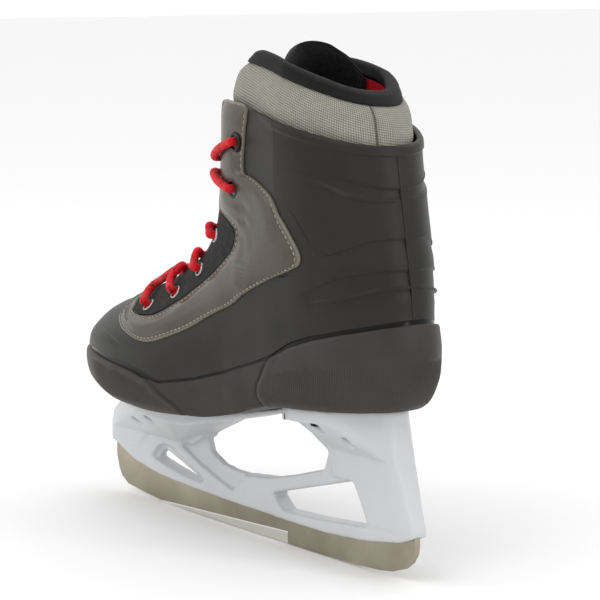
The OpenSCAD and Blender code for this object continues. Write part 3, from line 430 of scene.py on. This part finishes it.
def lace():
    sides = 20; T, U, B = frames(LP); s = np.arange(len(LP)) * .6
    a = np.arange(sides) / sides
    A, Sg = np.meshgrid(a, s)
    p = 3.4
    h1 = np.abs(np.sin(np.pi * (A * 5 + Sg / p))); h2 = np.abs(np.sin(np.pi * (A * 5 - Sg / p)))
    R = 2.1 * (.88 + .14 * np.maximum(h1, h2) ** .6)
    V = LP[:, None] + R[..., None] * (U[:, None] * np.cos(2 * np.pi * a)[None, :, None] + B[:, None] * np.sin(2 * np.pi * a)[None, :, None])
    k1 = np.floor(A * 5 + Sg / p).astype(int) % 5 == 2; k2 = h1 > h2
    fl = (k1 & k2 & (np.sin(np.pi * 2 * (A * 5 - Sg / p)) > -.2)).astype(float)
    j = Joined(); j.add(V, wrap=True, fleck=fl, uvm=np.stack([A * 13.8, Sg, 0 * A], -1))
    return j.make("lace_cord", M["lace"], rep=["lace"], slot="lace_red")
lace_obj = lace()

# ---------------------------------------------------------------- shell
def column_t(n):
    u = np.linspace(0, 1, n + 1)
    return np.concatenate([u, u[::-1][1:]]), np.concatenate([np.ones(n + 1), -np.ones(n)])

GW = lambda t: np.interp(np.abs(t), [0, .3, .36, .40, .412, .43, .6, .63, .66, .72, .8, 1], [2.4, 2.6, 3.2, 3.4, 2.0, 1.2, 1.4, 2.4, 3.3, 3.8, 4.2, 4.5])  # groove width, mm
def shell():
    n, R = 175, 240
    u, sg = column_t(n)
    q = np.linspace(0, 1, R)[:, None]
    lip = vt(u)[None] + GW(u)[None] * .5 / 150
    v = lip + (1 - lip) * q
    t = (tt(v) + (1 - tt(v)) * u[None])
    off = sx(v, t)
    # the rim's band, raised at the back, and the soft panel between the upper lines
    vl = 1 - np.interp(t, [.45, .6, .75, .88, 1], [0, .012, .022, .028, .03])
    off = off - .85 * ss((v - vl) / .004) * ss((t - .45) / .15)
    A = np.interp(t, [.77, .842, .926, 1], [.91, .896, .872, .862]); B_ = np.interp(t, [.682, .79, .85, .922, 1], [.90, .866, .84, .822, .82])
    off = off + .7 * ss((A - v) / .006) * ss((v - B_) / .02) * ss((t - .70) / .06)
    C_ = np.interp(t, [.70, .778, .81, .852, .912, 1], [.60, .642, .648, .668, .686, .686])
    off = off + .55 * ss((C_ - v) / .006) * ss((v - (C_ - .07)) / .07) * ss((t - .74) / .05)
    D_ = np.interp(t, [.70, .718, .792, .86, .924, 1], [.47, .49, .534, .552, .558, .556]); E_ = np.interp(t, [.70, .81, .894, 1], [.424, .444, .468, .484])
    off = off + .7 * ss((D_ - v) / .006) * ss((v - E_) / .03) * ss((t - .69) / .05)
    off = off + .5 * ss((E_ - v) / .006) * ss((v - (E_ - .05)) / .05) * ss((t - .70) / .05)
    # crease over the toe
    K = np.interp(t, [.22, .26, .304, .336, .36], [.252, .246, .232, .212, .20])
    off = off + .6 * np.exp(-((v - K) / .006) ** 2) * ss((t - .20) / .04) * ss((.36 - t) / .04)
    P = S(v, t * sg[None], off)
    rows = [P]
    # rolled rim
    th = np.linspace(0, np.pi, 7)[1:]
    tr = t[-1]; ob = off[-1]
    w = 1.7
    for a in th:
        rows.append((S(1 + 0 * tr + .009 * np.sin(a), tr * sg, ob + w - w * np.cos(a)))[None])
    # lower lip turned in
    tb = t[0]; low = [S(lip[0] - .001, tb * sg, off[0] + d)[None] for d in (3.2, 1.6)] + [S(lip[0] - .0016, tb * sg, off[0] + .7)[None]]
    G = np.concatenate(low + rows)
    j = Joined()
    Rn, Cn = G.shape[:2]
    # merge the two edge columns below the throat
    F = gf(Rn, Cn)
    idx = np.arange(Rn * Cn).reshape(Rn, Cn)
    closed = tt(np.concatenate([[0] * 3, v[:, 0], [1] * 6])) == 0
    mp = np.arange(Rn * Cn); mp[idx[closed, -1]] = idx[closed, 0]
    F = mp[F]
    j.raw(G.reshape(-1, 3), F.tolist())
    # inner face
    qi = np.linspace(0, 1, 40)[:, None]; ui, si = column_t(60)
    vi = .09 + .91 * qi + 0 * ui[None]; ti = tt(vi) + (1 - tt(vi)) * ui[None]
    j.add(S(vi, ti * si[None], np.maximum(3.4, sx(vi, ti) + 2.4)), flip=True)
    # throat edges
    for side in (0, -1):
        e = np.stack([G[3 + k, side] for k in range(R)]); vs = v[:, 0] if side == 0 else v[:, -1]
        s0 = 1 if side == 0 else -1
        inn = S(vs, tt(vs) * s0, 3.4)
        k = vs > .559
        j.add(np.stack([e[k], inn[k]]), flip=(side != 0))
    # thin moulding lines, and the parting line up the back
    lines = [[(.91, .77), (.896, .842), (.872, .926), (.862, 1)], [(.90, .682), (.866, .79), (.84, .85), (.822, .922), (.82, 1)],
             [(.878, .666), (.82, .69), (.77, .716), (.72, .735), (.672, .752), (.650, .764), (.642, .778), (.648, .81), (.668, .852), (.686, .912), (.686, 1)],
             [(.49, .718), (.534, .792), (.552, .86), (.558, .924), (.556, 1)], [(.424, .704), (.444, .81), (.468, .894), (.484, 1)]]
    for L in lines:
        Q, _ = cr_path(L, 90)
        for s0 in (1, -1):
            r = np.interp(np.linspace(0, 1, 90), [0, .25, .9, 1], [.04, .42, .42, .05])
            j.raw(*tube(S(Q[:, 0], np.clip(Q[:, 1], 0, .998) * s0, .12), r, 6, False))
    vq = np.linspace(.37, .995, 120)
    j.raw(*tube(S(vq, 1, sx(vq, 1) - .02), .38, 6, False))
    j.raw(*tube(S(.985 - 0 * vq, np.linspace(.88, 1, 120), -.6), .3, 6, False))
    return j.make("boot_shell_skin", M["shell"], rep=["boot_shell"], slot="shell_rubber")
shell_obj = shell()

# ---------------------------------------------------------------- sole unit
def sole():
    # columns are closer together where the ribs and steps are
    tf = np.linspace(0, 1, 4001); X = S(.08, tf); arc = np.concatenate([[0], np.cumsum(np.linalg.norm(np.diff(X, axis=0), axis=1))])
    dens = np.full(len(tf), 1 / 1.6)
    dens[(tf > .23) & (tf < .44)] = 1 / .36; dens[tf > .60] = 1 / .36; dens[(tf > .385) & (tf < .47)] = 1 / .30
    cum = np.concatenate([[0], np.cumsum(dens[1:] * np.diff(arc))]); nc = int(cum[-1])
    u = np.interp(np.linspace(0, cum[-1], nc + 1), cum, tf)
    t = np.concatenate([u, u[::-1][1:]]); sg = np.concatenate([np.ones(nc + 1), -np.ones(nc)])
    a = np.interp(t, tf, arc)
    R = 46
    q = (1 - np.cos(np.linspace(0, np.pi, R) * .5 + .0)) if False else np.linspace(0, 1, R)
    top = vt(t) - GW(t) * .5 / 150
    v = top[None] * q[:, None]
    T = np.broadcast_to(t[None], v.shape)
    off = np.interp(q, [0, .04, .10, .2, .35, .8, .96, 1], [3.4, 1.7, .9, .35, 0, 0, .15, .7])[:, None] + 0 * T
    tail_ = np.interp(v, [.018, .04, .062, .098, .122], [.456, .444, .428, .41, .395])
    notch = np.interp(v, [.012, .046, .09, .136, .174, .2], [.608, .604, .608, .616, .622, .628])
    mid = ss((T - tail_) / .003) * (1 - ss((T - notch + .002) / .004))
    off = off + .75 * mid + .8 * np.exp(-((T - tail_ - .004) / .0022) ** 2) * (v < .125)
    off = off - .5 * np.exp(-((T - notch - .006) / .006) ** 2) + .9 * np.exp(-((T - notch + .003) / .0024) ** 2)
    rt = np.interp(T, [.60, .614, .70, .85, 1], [.10, .14, .174, .194, .196])
    heel = ss((rt - v) / .012) * ss((T - notch - .010) / .006) * ss((v - .012) / .02)
    toe = ss((T - .235) / .06) * ss((tail_ - .006 - T) / .004) * ss((top[None] - .012 - v) / .012) * ss((v - .012) / .02)
    rib = .5 - .5 * np.cos(2 * np.pi * a / 1.42)
    off = off + .30 * (rib[None] ** 1.3) * np.maximum(heel, toe)
    P = S(v, T * sg[None], off)
    inner = S(top[None] + 0 * T[:1], T[:1] * sg[None], 3.6)
    G = np.concatenate([P, inner])
    st = np.concatenate([mid, np.zeros_like(mid[:1])])
    j = Joined(); j.add(G, stip=st)
    # underside
    n2 = len(t); F = []
    for i in range(nc):
        k = n2 - 1 - i
        if i < nc: F.append([i, k, k - 1, i + 1] if i + 1 < k - 1 else [i, k, i + 1])
    F = [f for f in F if len(set(f)) > 2]
    j.raw(P[0], F, stip=np.zeros(n2))
    return j.make("cup_sole_skin", M["sole"], rep=["cup_sole"], slot="sole_rubber")
sole_obj = sole()

def groove():
    # painted shade: a near-black sheet at the bottom of the gap between shell lip and sole top
    u, sg = column_t(260); w = GW(u) * .5 / 150 + .008
    k = np.linspace(-1, 1, 5)[:, None]
    v = vt(u)[None] + w[None] * k; d = 2.3 - .25 * np.abs(k)
    return make("sole_groove_shade_band", S(v, u[None] * sg[None], d + 0 * v).reshape(-1, 3), gf(5, len(u)), M["groove"], slot="sole_rubber")
groove()

# ---------------------------------------------------------------- overlay and facing
OV = [[1.022, .355, 1.022, .245], [1.012, .383, 1.012, .215], [.985, .384, .99, .197], [.96, .368, .96, .19], [.89, .36, .90, .185], [.876, .44, .86, .182],
      [.858, .54, .835, .182], [.83, .63, .815, .20], [.774, .674, .795, .265], [.712, .70, .772, .316],
      [.648, .716, .742, .354], [.608, .71, .70, .376], [.59, .69, .65, .382], [.548, .616, .60, .39],
      [.482, .562, .55, .397], [.42, .542, .50, .402], [.358, .508, .434, .41], [.294, .478, .378, .406],
      [.254, .446, .338, .39], [.228, .418, .326, .368], [.228, .392, .328, .345], [.246, .362, .338, .326],
      [.274, .328, .352, .307], [.31, .292, .375, .29], [.36, .262, .405, .255], [.41, .215, .455, .20], [.46, .13, .505, .12], [.497, 0, .535, 0]]
FC = [[.822, .187, .812, .183], [.795, .257, .79, .182], [.772, .308, .76, .181], [.742, .346, .735, .184],
      [.70, .368, .71, .188], [.65, .374, .685, .191], [.60, .382, .665, .193], [.55, .389, .65, .194],
      [.50, .394, .635, .193], [.434, .402, .62, .191], [.378, .398, .61, .186], [.342, .384, .60, .179],
      [.333, .366, .595, .171], [.334, .345, .59, .161], [.343, .328, .585, .149], [.358, .31, .58, .133],
      [.381, .293, .573, .111], [.412, .255, .567, .086], [.462, .20, .5625, .062], [.512, .12, .5615, .03], [.542, 0, .5605, 0]]
CREASE = S(*np.array([(.828, .376), (.788, .408), (.716, .444), (.632, .506), (.536, .548)]).T)
EYP = [S(*e) for e in EU]

def strip(tb, prof, edges, base, n, crease=False, last=4.0):
    full = np.array(tb + [[r[0], -r[1], r[2], -r[3]] for r in tb[-2::-1]], float)
    # equal steps measured on the outer edge
    O = S(full[:, 0], full[:, 1]); s = np.concatenate([[0], np.cumsum(np.linalg.norm(np.diff(O, axis=0), axis=1))])
    Q, _ = cr_path(np.c_[full, s / 40], n)
    vo, to, vi, ti = Q[:, :4].T
    W = np.linalg.norm(S(vo, to) - S(vi, ti), axis=1)
    e = np.array(edges)
    P = []; 
    half = np.minimum(e[None] / W[:, None], .5 * e[None] / e[-1])
    mid = np.linspace(0, 1, 9)[1:-1]
    p = np.concatenate([half, half[:, -1:] + (1 - 2 * half[:, -1:]) * mid[None], 1 - half[:, ::-1]], 1)
    v = vo[:, None] * (1 - p) + vi[:, None] * p; t = to[:, None] * (1 - p) + ti[:, None] * p
    X = S(v, t)
    sO = np.concatenate([[0], np.cumsum(np.linalg.norm(np.diff(X[:, p.shape[1] // 2], axis=0), axis=1))])
    ee = np.minimum(sO, sO[-1] - sO)[:, None]
    d = np.minimum(np.minimum(p, 1 - p) * W[:, None], ee + .0)
    h = prof(d)
    if crease:
        dc = np.minimum(dist_line(X, CREASE), dist_line(X * [1, -1, 1], CREASE)).reshape(d.shape)
        h = h - .95 * np.exp(-(dc / 1.5) ** 2) * ss((d - .4) / 4) + .45 * np.exp(-((dc - 4.0) / 2.4) ** 2) * ss(d / 5)
        for q in EYP:
            r = np.minimum(np.linalg.norm(X - q, axis=-1), np.linalg.norm(X * [1, -1, 1] - q, axis=-1))
            h = np.where(r < 7.5, h - .6 * ss((7.5 - r) / 3), h)
    Nn = N(v, t)
    top = X + Nn * h[..., None]
    under = X + Nn * (base - .3 - sx(v, t))[..., None]
    j = Joined()
    j.add(top, edge=1 - ss((d - .5) / .5), flip=True)
    for a, b in ((top[:, 0], under[:, 0]), (under[:, -1], top[:, -1]), (under[0], top[0]), (top[-1], under[-1])):
        j.add(np.stack([a, b]), edge=np.full((2, len(a)), 1.))
    return j, v, t, d, top, Nn, W, X

def ov_prof(d):
    return (.35 + 1.05 * np.sqrt(1 - (1 - np.clip(d / .8, 0, 1)) ** 2) - .42 * np.exp(-((d - 2.3) / .5) ** 2)
            - .15 * ss((d - 1.2) / .8) + 1.15 * ss((d - 2.7) / 8))
def fc_prof(d):
    return .3 + .7 * np.sqrt(1 - (1 - np.clip(d / .5, 0, 1)) ** 2)
j, v_, t_, d_, top_, N_, W_, X_ = strip(OV, ov_prof, [0, .12, .35, .7, 1.2, 1.7, 2.0, 2.3, 2.6, 2.9, 3.5, 4.5, 6, 8], .0, 420, True)
overlay_obj = j.make("overlay_skin", M["overlay"], rep=["eyestay_overlay"], slot="overlay_pu")
OVG = (v_, t_, d_, top_, N_)
j, *fc = strip(FC, fc_prof, [0, .1, .3, .6, 1.2, 2.2], .0, 300)
facing_obj = j.make("facing_skin", M["facing"], rep=["eyelet_facing"], slot="facing_nubuck")

def stitches(name, paths, step, length, r, m):
    """Short rounded stitches along each path of points with normals."""
    jn = Joined()
    prof = np.array([(-1, .05), (-.85, .6), (-.5, .95), (0, 1), (.5, .95), (.85, .6), (1, .05)])
    a = np.arange(6) / 6 * 2 * np.pi
    F = gf(7, 6, 0, True).tolist()
    for P, Nn in paths:
        s = np.concatenate([[0], np.cumsum(np.linalg.norm(np.diff(P, axis=0), axis=1))])
        for c in np.arange(step, s[-1] - step, step):
            f = lambda q: np.array([np.interp(q, s, P[:, k]) for k in range(3)])
            p, d = f(c), unit(f(c + .8) - f(c - .8)); nn = np.array([np.interp(c, s, Nn[:, k]) for k in range(3)]); nn = unit(nn - d * (nn @ d)); b = np.cross(d, nn)
            V = [p + d * length / 2 * x - nn * (.32 * x * x) * r + (nn * np.cos(k) * .8 + b * np.sin(k)) * r * y for x, y in prof for k in a]
            jn.raw(V, F)
    return jn.make(name, m, slot="overlay_pu")

def path_at(G, dist, side):
    """Points of a strip at a distance from its outer (0) or inner (1) edge, pressed into the groove."""
    v, t, d, top, Nn = G
    P, Q = [], []
    m = v.shape[1] // 2
    for k in range(len(v)):
        dd = d[k, :m] if side == 0 else d[k, ::-1][:m]; tp = top[k, :m] if side == 0 else top[k, ::-1][:m]; nn = Nn[k, :m] if side == 0 else Nn[k, ::-1][:m]
        if dd[-1] < dist: continue
        i = min(max(int(np.searchsorted(dd, dist)), 1), m - 1); f = (dist - dd[i - 1]) / max(dd[i] - dd[i - 1], 1e-6)
        P.append(tp[i - 1] * (1 - f) + tp[i] * f + nn[i] * .12); Q.append(nn[i])
    return np.array(P), np.array(Q)
a0 = path_at(OVG, 2.3, 0); a1 = path_at(OVG, 2.3, 1)
# across the overlay's two top ends
ends = []
for k in (0, -1):
    row = 1 if k == 0 else -2
    ends.append((top_[row, 8:-8] + N_[row, 8:-8] * .15, N_[row, 8:-8]))
stitches("overlay_stitches", [a0, a1] + ends, 3.1, 2.35, .42, M["thread"])

# ---------------------------------------------------------------- eyelets
def eyelet(name, E, od, idd, m, node, slot, lift):
    prof = []
    ro, ri = od / 2, idd / 2
    for a in np.linspace(-.3, np.pi + .2, 12):
        prof.append(((ro + ri) / 2 + (ro - ri) / 2 * math.cos(a), lift + .75 * math.sin(a)))
    prof += [(ri, lift - .6), (ri, lift - 5.2)]
    prof = np.array(prof); a = np.arange(40) / 40 * 2 * np.pi
    j = Joined()
    for e in E:
        p, n = S(*e), N(*e)
        x = unit(np.cross(n, [0, 0, 1.])); y = np.cross(n, x)
        V = p + prof[:, None, 1:2] * n + prof[:, None, 0:1] * (np.cos(a)[None, :, None] * x + np.sin(a)[None, :, None] * y)
        for s0 in (1, -1):
            j.add(V * [1, s0, 1], wrap=True, flip=s0 < 0)
    return j.make(name, m, rep=[node], slot=slot)
eyelet("upper_eyelet_rings", EU, 10.2, 5.6, M["eyeb"], "upper_eyelets", "eyelet_black", 1.6)
eyelet("lower_eyelet_rings", EL, 7.6, 5.3, M["eyeg"], "lower_eyelets", "eyelet_gun", 1.1)
jd = Joined()
for e in EU + EL:
    p, n = S(*e), N(*e); x = unit(np.cross(n, [0, 0, 1.])); y = np.cross(n, x); a = np.arange(24) / 24 * 2 * np.pi
    for s0 in (1, -1):
        jd.raw((p + n * 1.0 + 2.9 * (np.cos(a)[:, None] * x + np.sin(a)[:, None] * y)) * [1, s0, 1], [list(range(24))])
jd.make("eyelet_shadow_discs", M["aglet"], slot="eyelet_black")

# ---------------------------------------------------------------- liner, collar, binding
LO = 3.9
def ring_t(n, t0):
    u = np.linspace(0, 1, n + 1); t = t0 + (1 - t0) * u
    return np.concatenate([t, -t[::-1][1:]])
def arc_of(v, t):
    X = S(v, t); s = np.concatenate([[0], np.cumsum(np.linalg.norm(np.diff(X, axis=0), axis=1))])
    i = np.argmin(np.abs(np.abs(t) - 1)); return s - s[i]
def collar():
    t = ring_t(110, .20); R = 40
    v = np.linspace(.965, 1.196, R)
    prof = tab([.965, 1.0, 1.05, 1.1, 1.15, 1.185, 1.196], [.9, .1, -1.0, -1.2, -.6, .4, 1.4], v)
    # pinch along the back seam and soft waves in the padding
    seam = np.exp(-((t - .955) / .006) ** 2)
    T, Vg = np.meshgrid(t, v)
    wave = .35 * np.sin(T * 21 + 1.3 * np.sin(Vg * 30)) * ss((Vg - .98) / .05) * ss((1.18 - Vg) / .05)
    off = LO + prof[:, None] + .9 * seam[None] + wave
    edge = ss((np.abs(T) - .20) / .03)
    off = off + 2.2 * (1 - edge)
    P = S(Vg, T, off)
    a = arc_of(1.08, t)
    uv = np.stack([np.broadcast_to(a, T.shape), (Vg - 1) * 100, 0 * T], -1)
    # the cloth turns a little past the back seam
    uv[..., 1] += .10 * uv[..., 0]
    j = Joined(); j.add(P, uvm=uv)
    return j.make("collar_cloth", M["collar"], rep=["liner_collar"], slot="collar_nylon")
collar_obj = collar()
vs = np.linspace(.97, 1.19, 60)
js = Joined(); js.raw(*tube(S(vs, .955, LO + tab([.965, 1.0, 1.05, 1.1, 1.15, 1.185, 1.196], [.9, .1, -1.0, -1.2, -.6, .4, 1.4], vs) + .35), .45, 8), uvm=np.zeros((480, 3)))
js.make("collar_back_seam", M["collar"], slot="collar_nylon")

def lining():
    vb = np.concatenate([[.158, .17], np.linspace(.19, .48, 16), np.linspace(.49, 1.195, 50)])
    TLx, TLy = [.49, .5, .52, .56, .62, .9, .95, .99, 1.2], [0, .2, .33, .43, .47, .47, .40, .25, .22]
    u = np.linspace(0, 1, 81)
    rows, mi = [], []
    for v in vb:
        t0 = np.interp(v, TLx, TLy); t = t0 + (1 - t0) * u; t = np.concatenate([t, -t[::-1][1:]])
        o = np.maximum(3.4, sx(v, t) + 2.4) + 2.2 * (1 - ss((v - vt(t) - .01) / .07)) + .5 + 3.8 + .3 + 1.0
        if v > .95: o = o - .6 * ss((v - .95) / .05)
        rows.append(S(v, t, o))
    P = np.array(rows); j = Joined()
    k = int(np.searchsorted(vb, 1.165))
    j.add(P[:k + 1], 0, flip=True); j.add(P[k:], 1, flip=True)
    return j.make("lining_felt", [M["red"], M["black"]], rep=["liner_lining"], slot="red_felt")
lining()

def binding():
    t = ring_t(120, .205)
    pr = [(1.186, 4.2), (1.187, 3.5), (1.20, 3.15), (1.222, 3.25), (1.238, 3.3)]
    for a in np.linspace(0, np.pi, 9): pr.append((1.241 + .030 * math.sin(a), 6.5 - 3.3 * math.cos(a)))
    pr += [(1.238, 9.8), (1.222, 9.75), (1.20, 9.75), (1.187, 9.5), (1.186, 9.0)]
    pr = np.array(pr); c = pr.mean(0)
    k = np.sqrt(np.clip((np.abs(t) - .205) / .02, 0.02, 1))
    Vp = c[0] + (pr[:, None, 0] - c[0]) * k[None]; Op = c[1] + (pr[:, None, 1] - c[1]) * k[None]
    P = S(Vp, np.broadcast_to(t, Vp.shape), Op).transpose(1, 0, 2)
    a = arc_of(1.22, t); w = np.concatenate([[0], np.cumsum(np.hypot(np.diff(pr[:, 0]) * 95, np.diff(pr[:, 1])))])
    j = Joined(); j.add(P, wrap=True, uvm=np.stack([np.broadcast_to(a[:, None], P.shape[:2]), np.broadcast_to(w[None], P.shape[:2]), np.zeros(P.shape[:2])], -1))
    return j.make("binding_roll", M["binding"], rep=["collar_binding"], slot="binding_tape")
binding()

# ---------------------------------------------------------------- tongue
def tongue():
    path, L = cr_path(TP, 200)
    nu, nw = 130, 56
    u = np.linspace(.015, 1, nu); w = np.linspace(-1, 1, nw)
    c = np.stack([np.interp(u, np.linspace(0, 1, 200), path[:, k]) for k in range(2)], -1)
    g = unit(np.stack([np.gradient(np.convolve(np.pad(path[:, k], 12, mode="edge"), np.ones(25) / 25, "valid")) for k in range(2)], -1))
    g = np.stack([np.interp(u, np.linspace(0, 1, 200), g[:, k]) for k in range(2)], -1)
    nrm = np.stack([g[:, 1], -g[:, 0]], -1)
    hw = 24 * np.minimum(1, .62 + 1.2 * u) * (1 + .05 * ss((u - .6) / .2)) * np.where(u > .92, np.maximum(.01, 1 - np.clip((u - .92) / .082, 0, 1) ** 3.4) ** .36, 1)
    def pt(U, Wd, d):
        ci = c[U]; y = Wd * hw[U]
        z = (15 + 6 * ss((u[U] - .25) / .2)) * (np.abs(y) / 24) ** 2.2 * np.where(u[U] < .2, .55 + 2.25 * u[U], 1)
        q = ci - nrm[U] * (z + d)[..., None]
        return np.stack([q[..., 0], y, q[..., 1]], -1)
    Ui, Wi = np.meshgrid(np.arange(nu), w, indexing="ij")
    top = ss((1 - u[Ui]) / .03) ** .5
    rnd = np.sqrt(np.clip(1 - np.abs(Wi) ** 7, 0, 1)) * np.maximum(top, .05)
    mid = 3.6
    arcw = Wi * hw[Ui]; uv = np.stack([arcw, u[Ui] * L, 0 * arcw], -1)
    front = pt(Ui, Wi, mid - 3.6 * rnd); back = pt(Ui, Wi, mid + 3.7 * rnd)
    f = Joined(); f.add(front, uvm=uv, flip=True)
    # the face fabric wraps a few millimetres onto the back
    k = 5
    f.add(back[:, :k], uvm=uv[:, :k] + np.array([50, 0, 0])); f.add(back[:, -k:], uvm=uv[:, -k:] + np.array([50, 0, 0]))
    a = f.make("tongue_face_cloth", M["mesh"], body="tongue", rep=["tongue_face", "tongue_binding"], slot="tongue_mesh")
    b = Joined(); b.add(back[:, k - 1:nw - k + 1])
    felt = b.make("tongue_felt_pad", M["felt"], body="tongue", rep=["tongue_pad"], slot="tongue_felt")
    return a, felt
tongue_obj = tongue()

# ---------------------------------------------------------------- holder: the CAD solid, with moulded edges
RIV_XY = [(x, s0 * y) for x, y in ((.090, .016), (.070, .020), (.040, .020), (-.064, .019), (-.086, .019), (-.104, .015)) for s0 in (1, -1)]
def holder():
    src = NODES["blade_holder"]
    o = src.copy(); o.data = src.data.copy(); o.name = "holder_moulded"; o.parent = None
    SC.collection.objects.link(o)
    o.matrix_world = src.matrix_world.copy(); o.hide_render = False; o.hide_set(False)
    o.data.materials.clear()
    r = o.modifiers.new("r", "REMESH"); r.mode = "VOXEL"; r.voxel_size = .00085; r.adaptivity = 0
    s = o.modifiers.new("s", "SMOOTH"); s.factor = .5; s.iterations = 7
    dg = bpy.context.evaluated_depsgraph_get(); me = D.meshes.new_from_object(o.evaluated_get(dg))
    o.modifiers.clear(); o.data = me
    me.materials.clear(); me.materials.append(M["holder"])
    # painted shade: the recesses under the rivet heads are coloured near-black, as shade
    W = np.array(o.matrix_world); vv = np.empty(len(me.vertices) * 3); me.vertices.foreach_get("co", vv)
    vv = vv.reshape(-1, 3) @ W[:3, :3].T + W[:3, 3]; rec = np.zeros(len(vv))
    for node in ("front_rivets", "rear_rivets"):
        rv = NODES[node]; Wr = np.array(rv.matrix_world); q = np.empty(len(rv.data.vertices) * 3); rv.data.vertices.foreach_get("co", q)
        q = q.reshape(-1, 3) @ Wr[:3, :3].T + Wr[:3, 3]
        for cx, cy in RIV_XY:
            near = np.hypot(q[:, 0] - cx, q[:, 1] - cy) < .005
            if not near.any(): continue
            z0 = q[near, 2].min()
            d = np.hypot(vv[:, 0] - cx, vv[:, 1] - cy)
            rec = np.maximum(rec, ss((.0050 - d) / .0004) * (vv[:, 2] > z0 - .0040) * (vv[:, 2] < z0 + .0020))
    me.attributes.new("recess", "FLOAT", "POINT").data.foreach_set("value", rec)
    me.polygons.foreach_set("use_smooth", np.ones(len(me.polygons), bool))
    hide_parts("blade_holder"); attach(o, "skate")
    return o
holder_obj = holder()

# ---------------------------------------------------------------- CAD nodes kept as they are
for node, key in {"runner": "runner", "runner_screws": "zinc", "runner_nuts": "zinc", "front_rivets": "rivet", "rear_rivets": "rivet",
                  "rivet_washers": "zinc", "insole_board": "board", "liner_body": "foam", "footbed": "footbed", "lace_aglets": "aglet"}.items():
    o = NODES[node]
    if o.data.materials:
        for k in range(len(o.data.materials)): o.data.materials[k] = M[key]
    else:
        o.data.materials.append(M[key])

# ---------------------------------------------------------------- stage and light
fl = D.meshes.new("floor"); fl.from_pydata([(-9, -9, -.0005), (9, -9, -.0005), (9, 9, -.0005), (-9, 9, -.0005)], [], [(0, 1, 2, 3)])
fo = D.objects.new("floor", fl); SC.collection.objects.link(fo)
fm = mat("floor", (.93, .93, .93), .9, spec=.05); fl.materials.append(fm)
wd = D.worlds.new("world"); SC.world = wd; wd.use_nodes = True
wd.node_tree.nodes["Background"].inputs[0].default_value = (1, 1, 1, 1)
wd.node_tree.nodes["Background"].inputs[1].default_value = 1.0
def area(name, loc, aim, size, power, size_y=None):
    l = D.lights.new(name, "AREA"); l.energy = power; l.size = size
    if size_y: l.shape = "RECTANGLE"; l.size_y = size_y
    o = D.objects.new(name, l); SC.collection.objects.link(o); o.location = loc
    o.rotation_euler = (Vector(aim) - Vector(loc)).to_track_quat("-Z", "Y").to_euler()
area("key", (-.5, 1.5, 1.7), (0, 0, .15), 1.0, 5)
area("top", (.2, .1, 2.0), (0, 0, .1), 1.2, 3)
area("rear_strip", (-1.9, -.7, 1.0), (-.1, 0, .15), .3, 6, 1.2)
area("front_left", (1.3, 1.5, .9), (.05, 0, .12), .5, 4, 1.0)
SC.view_settings.view_transform = "Standard"
SC.view_settings.look = "None"
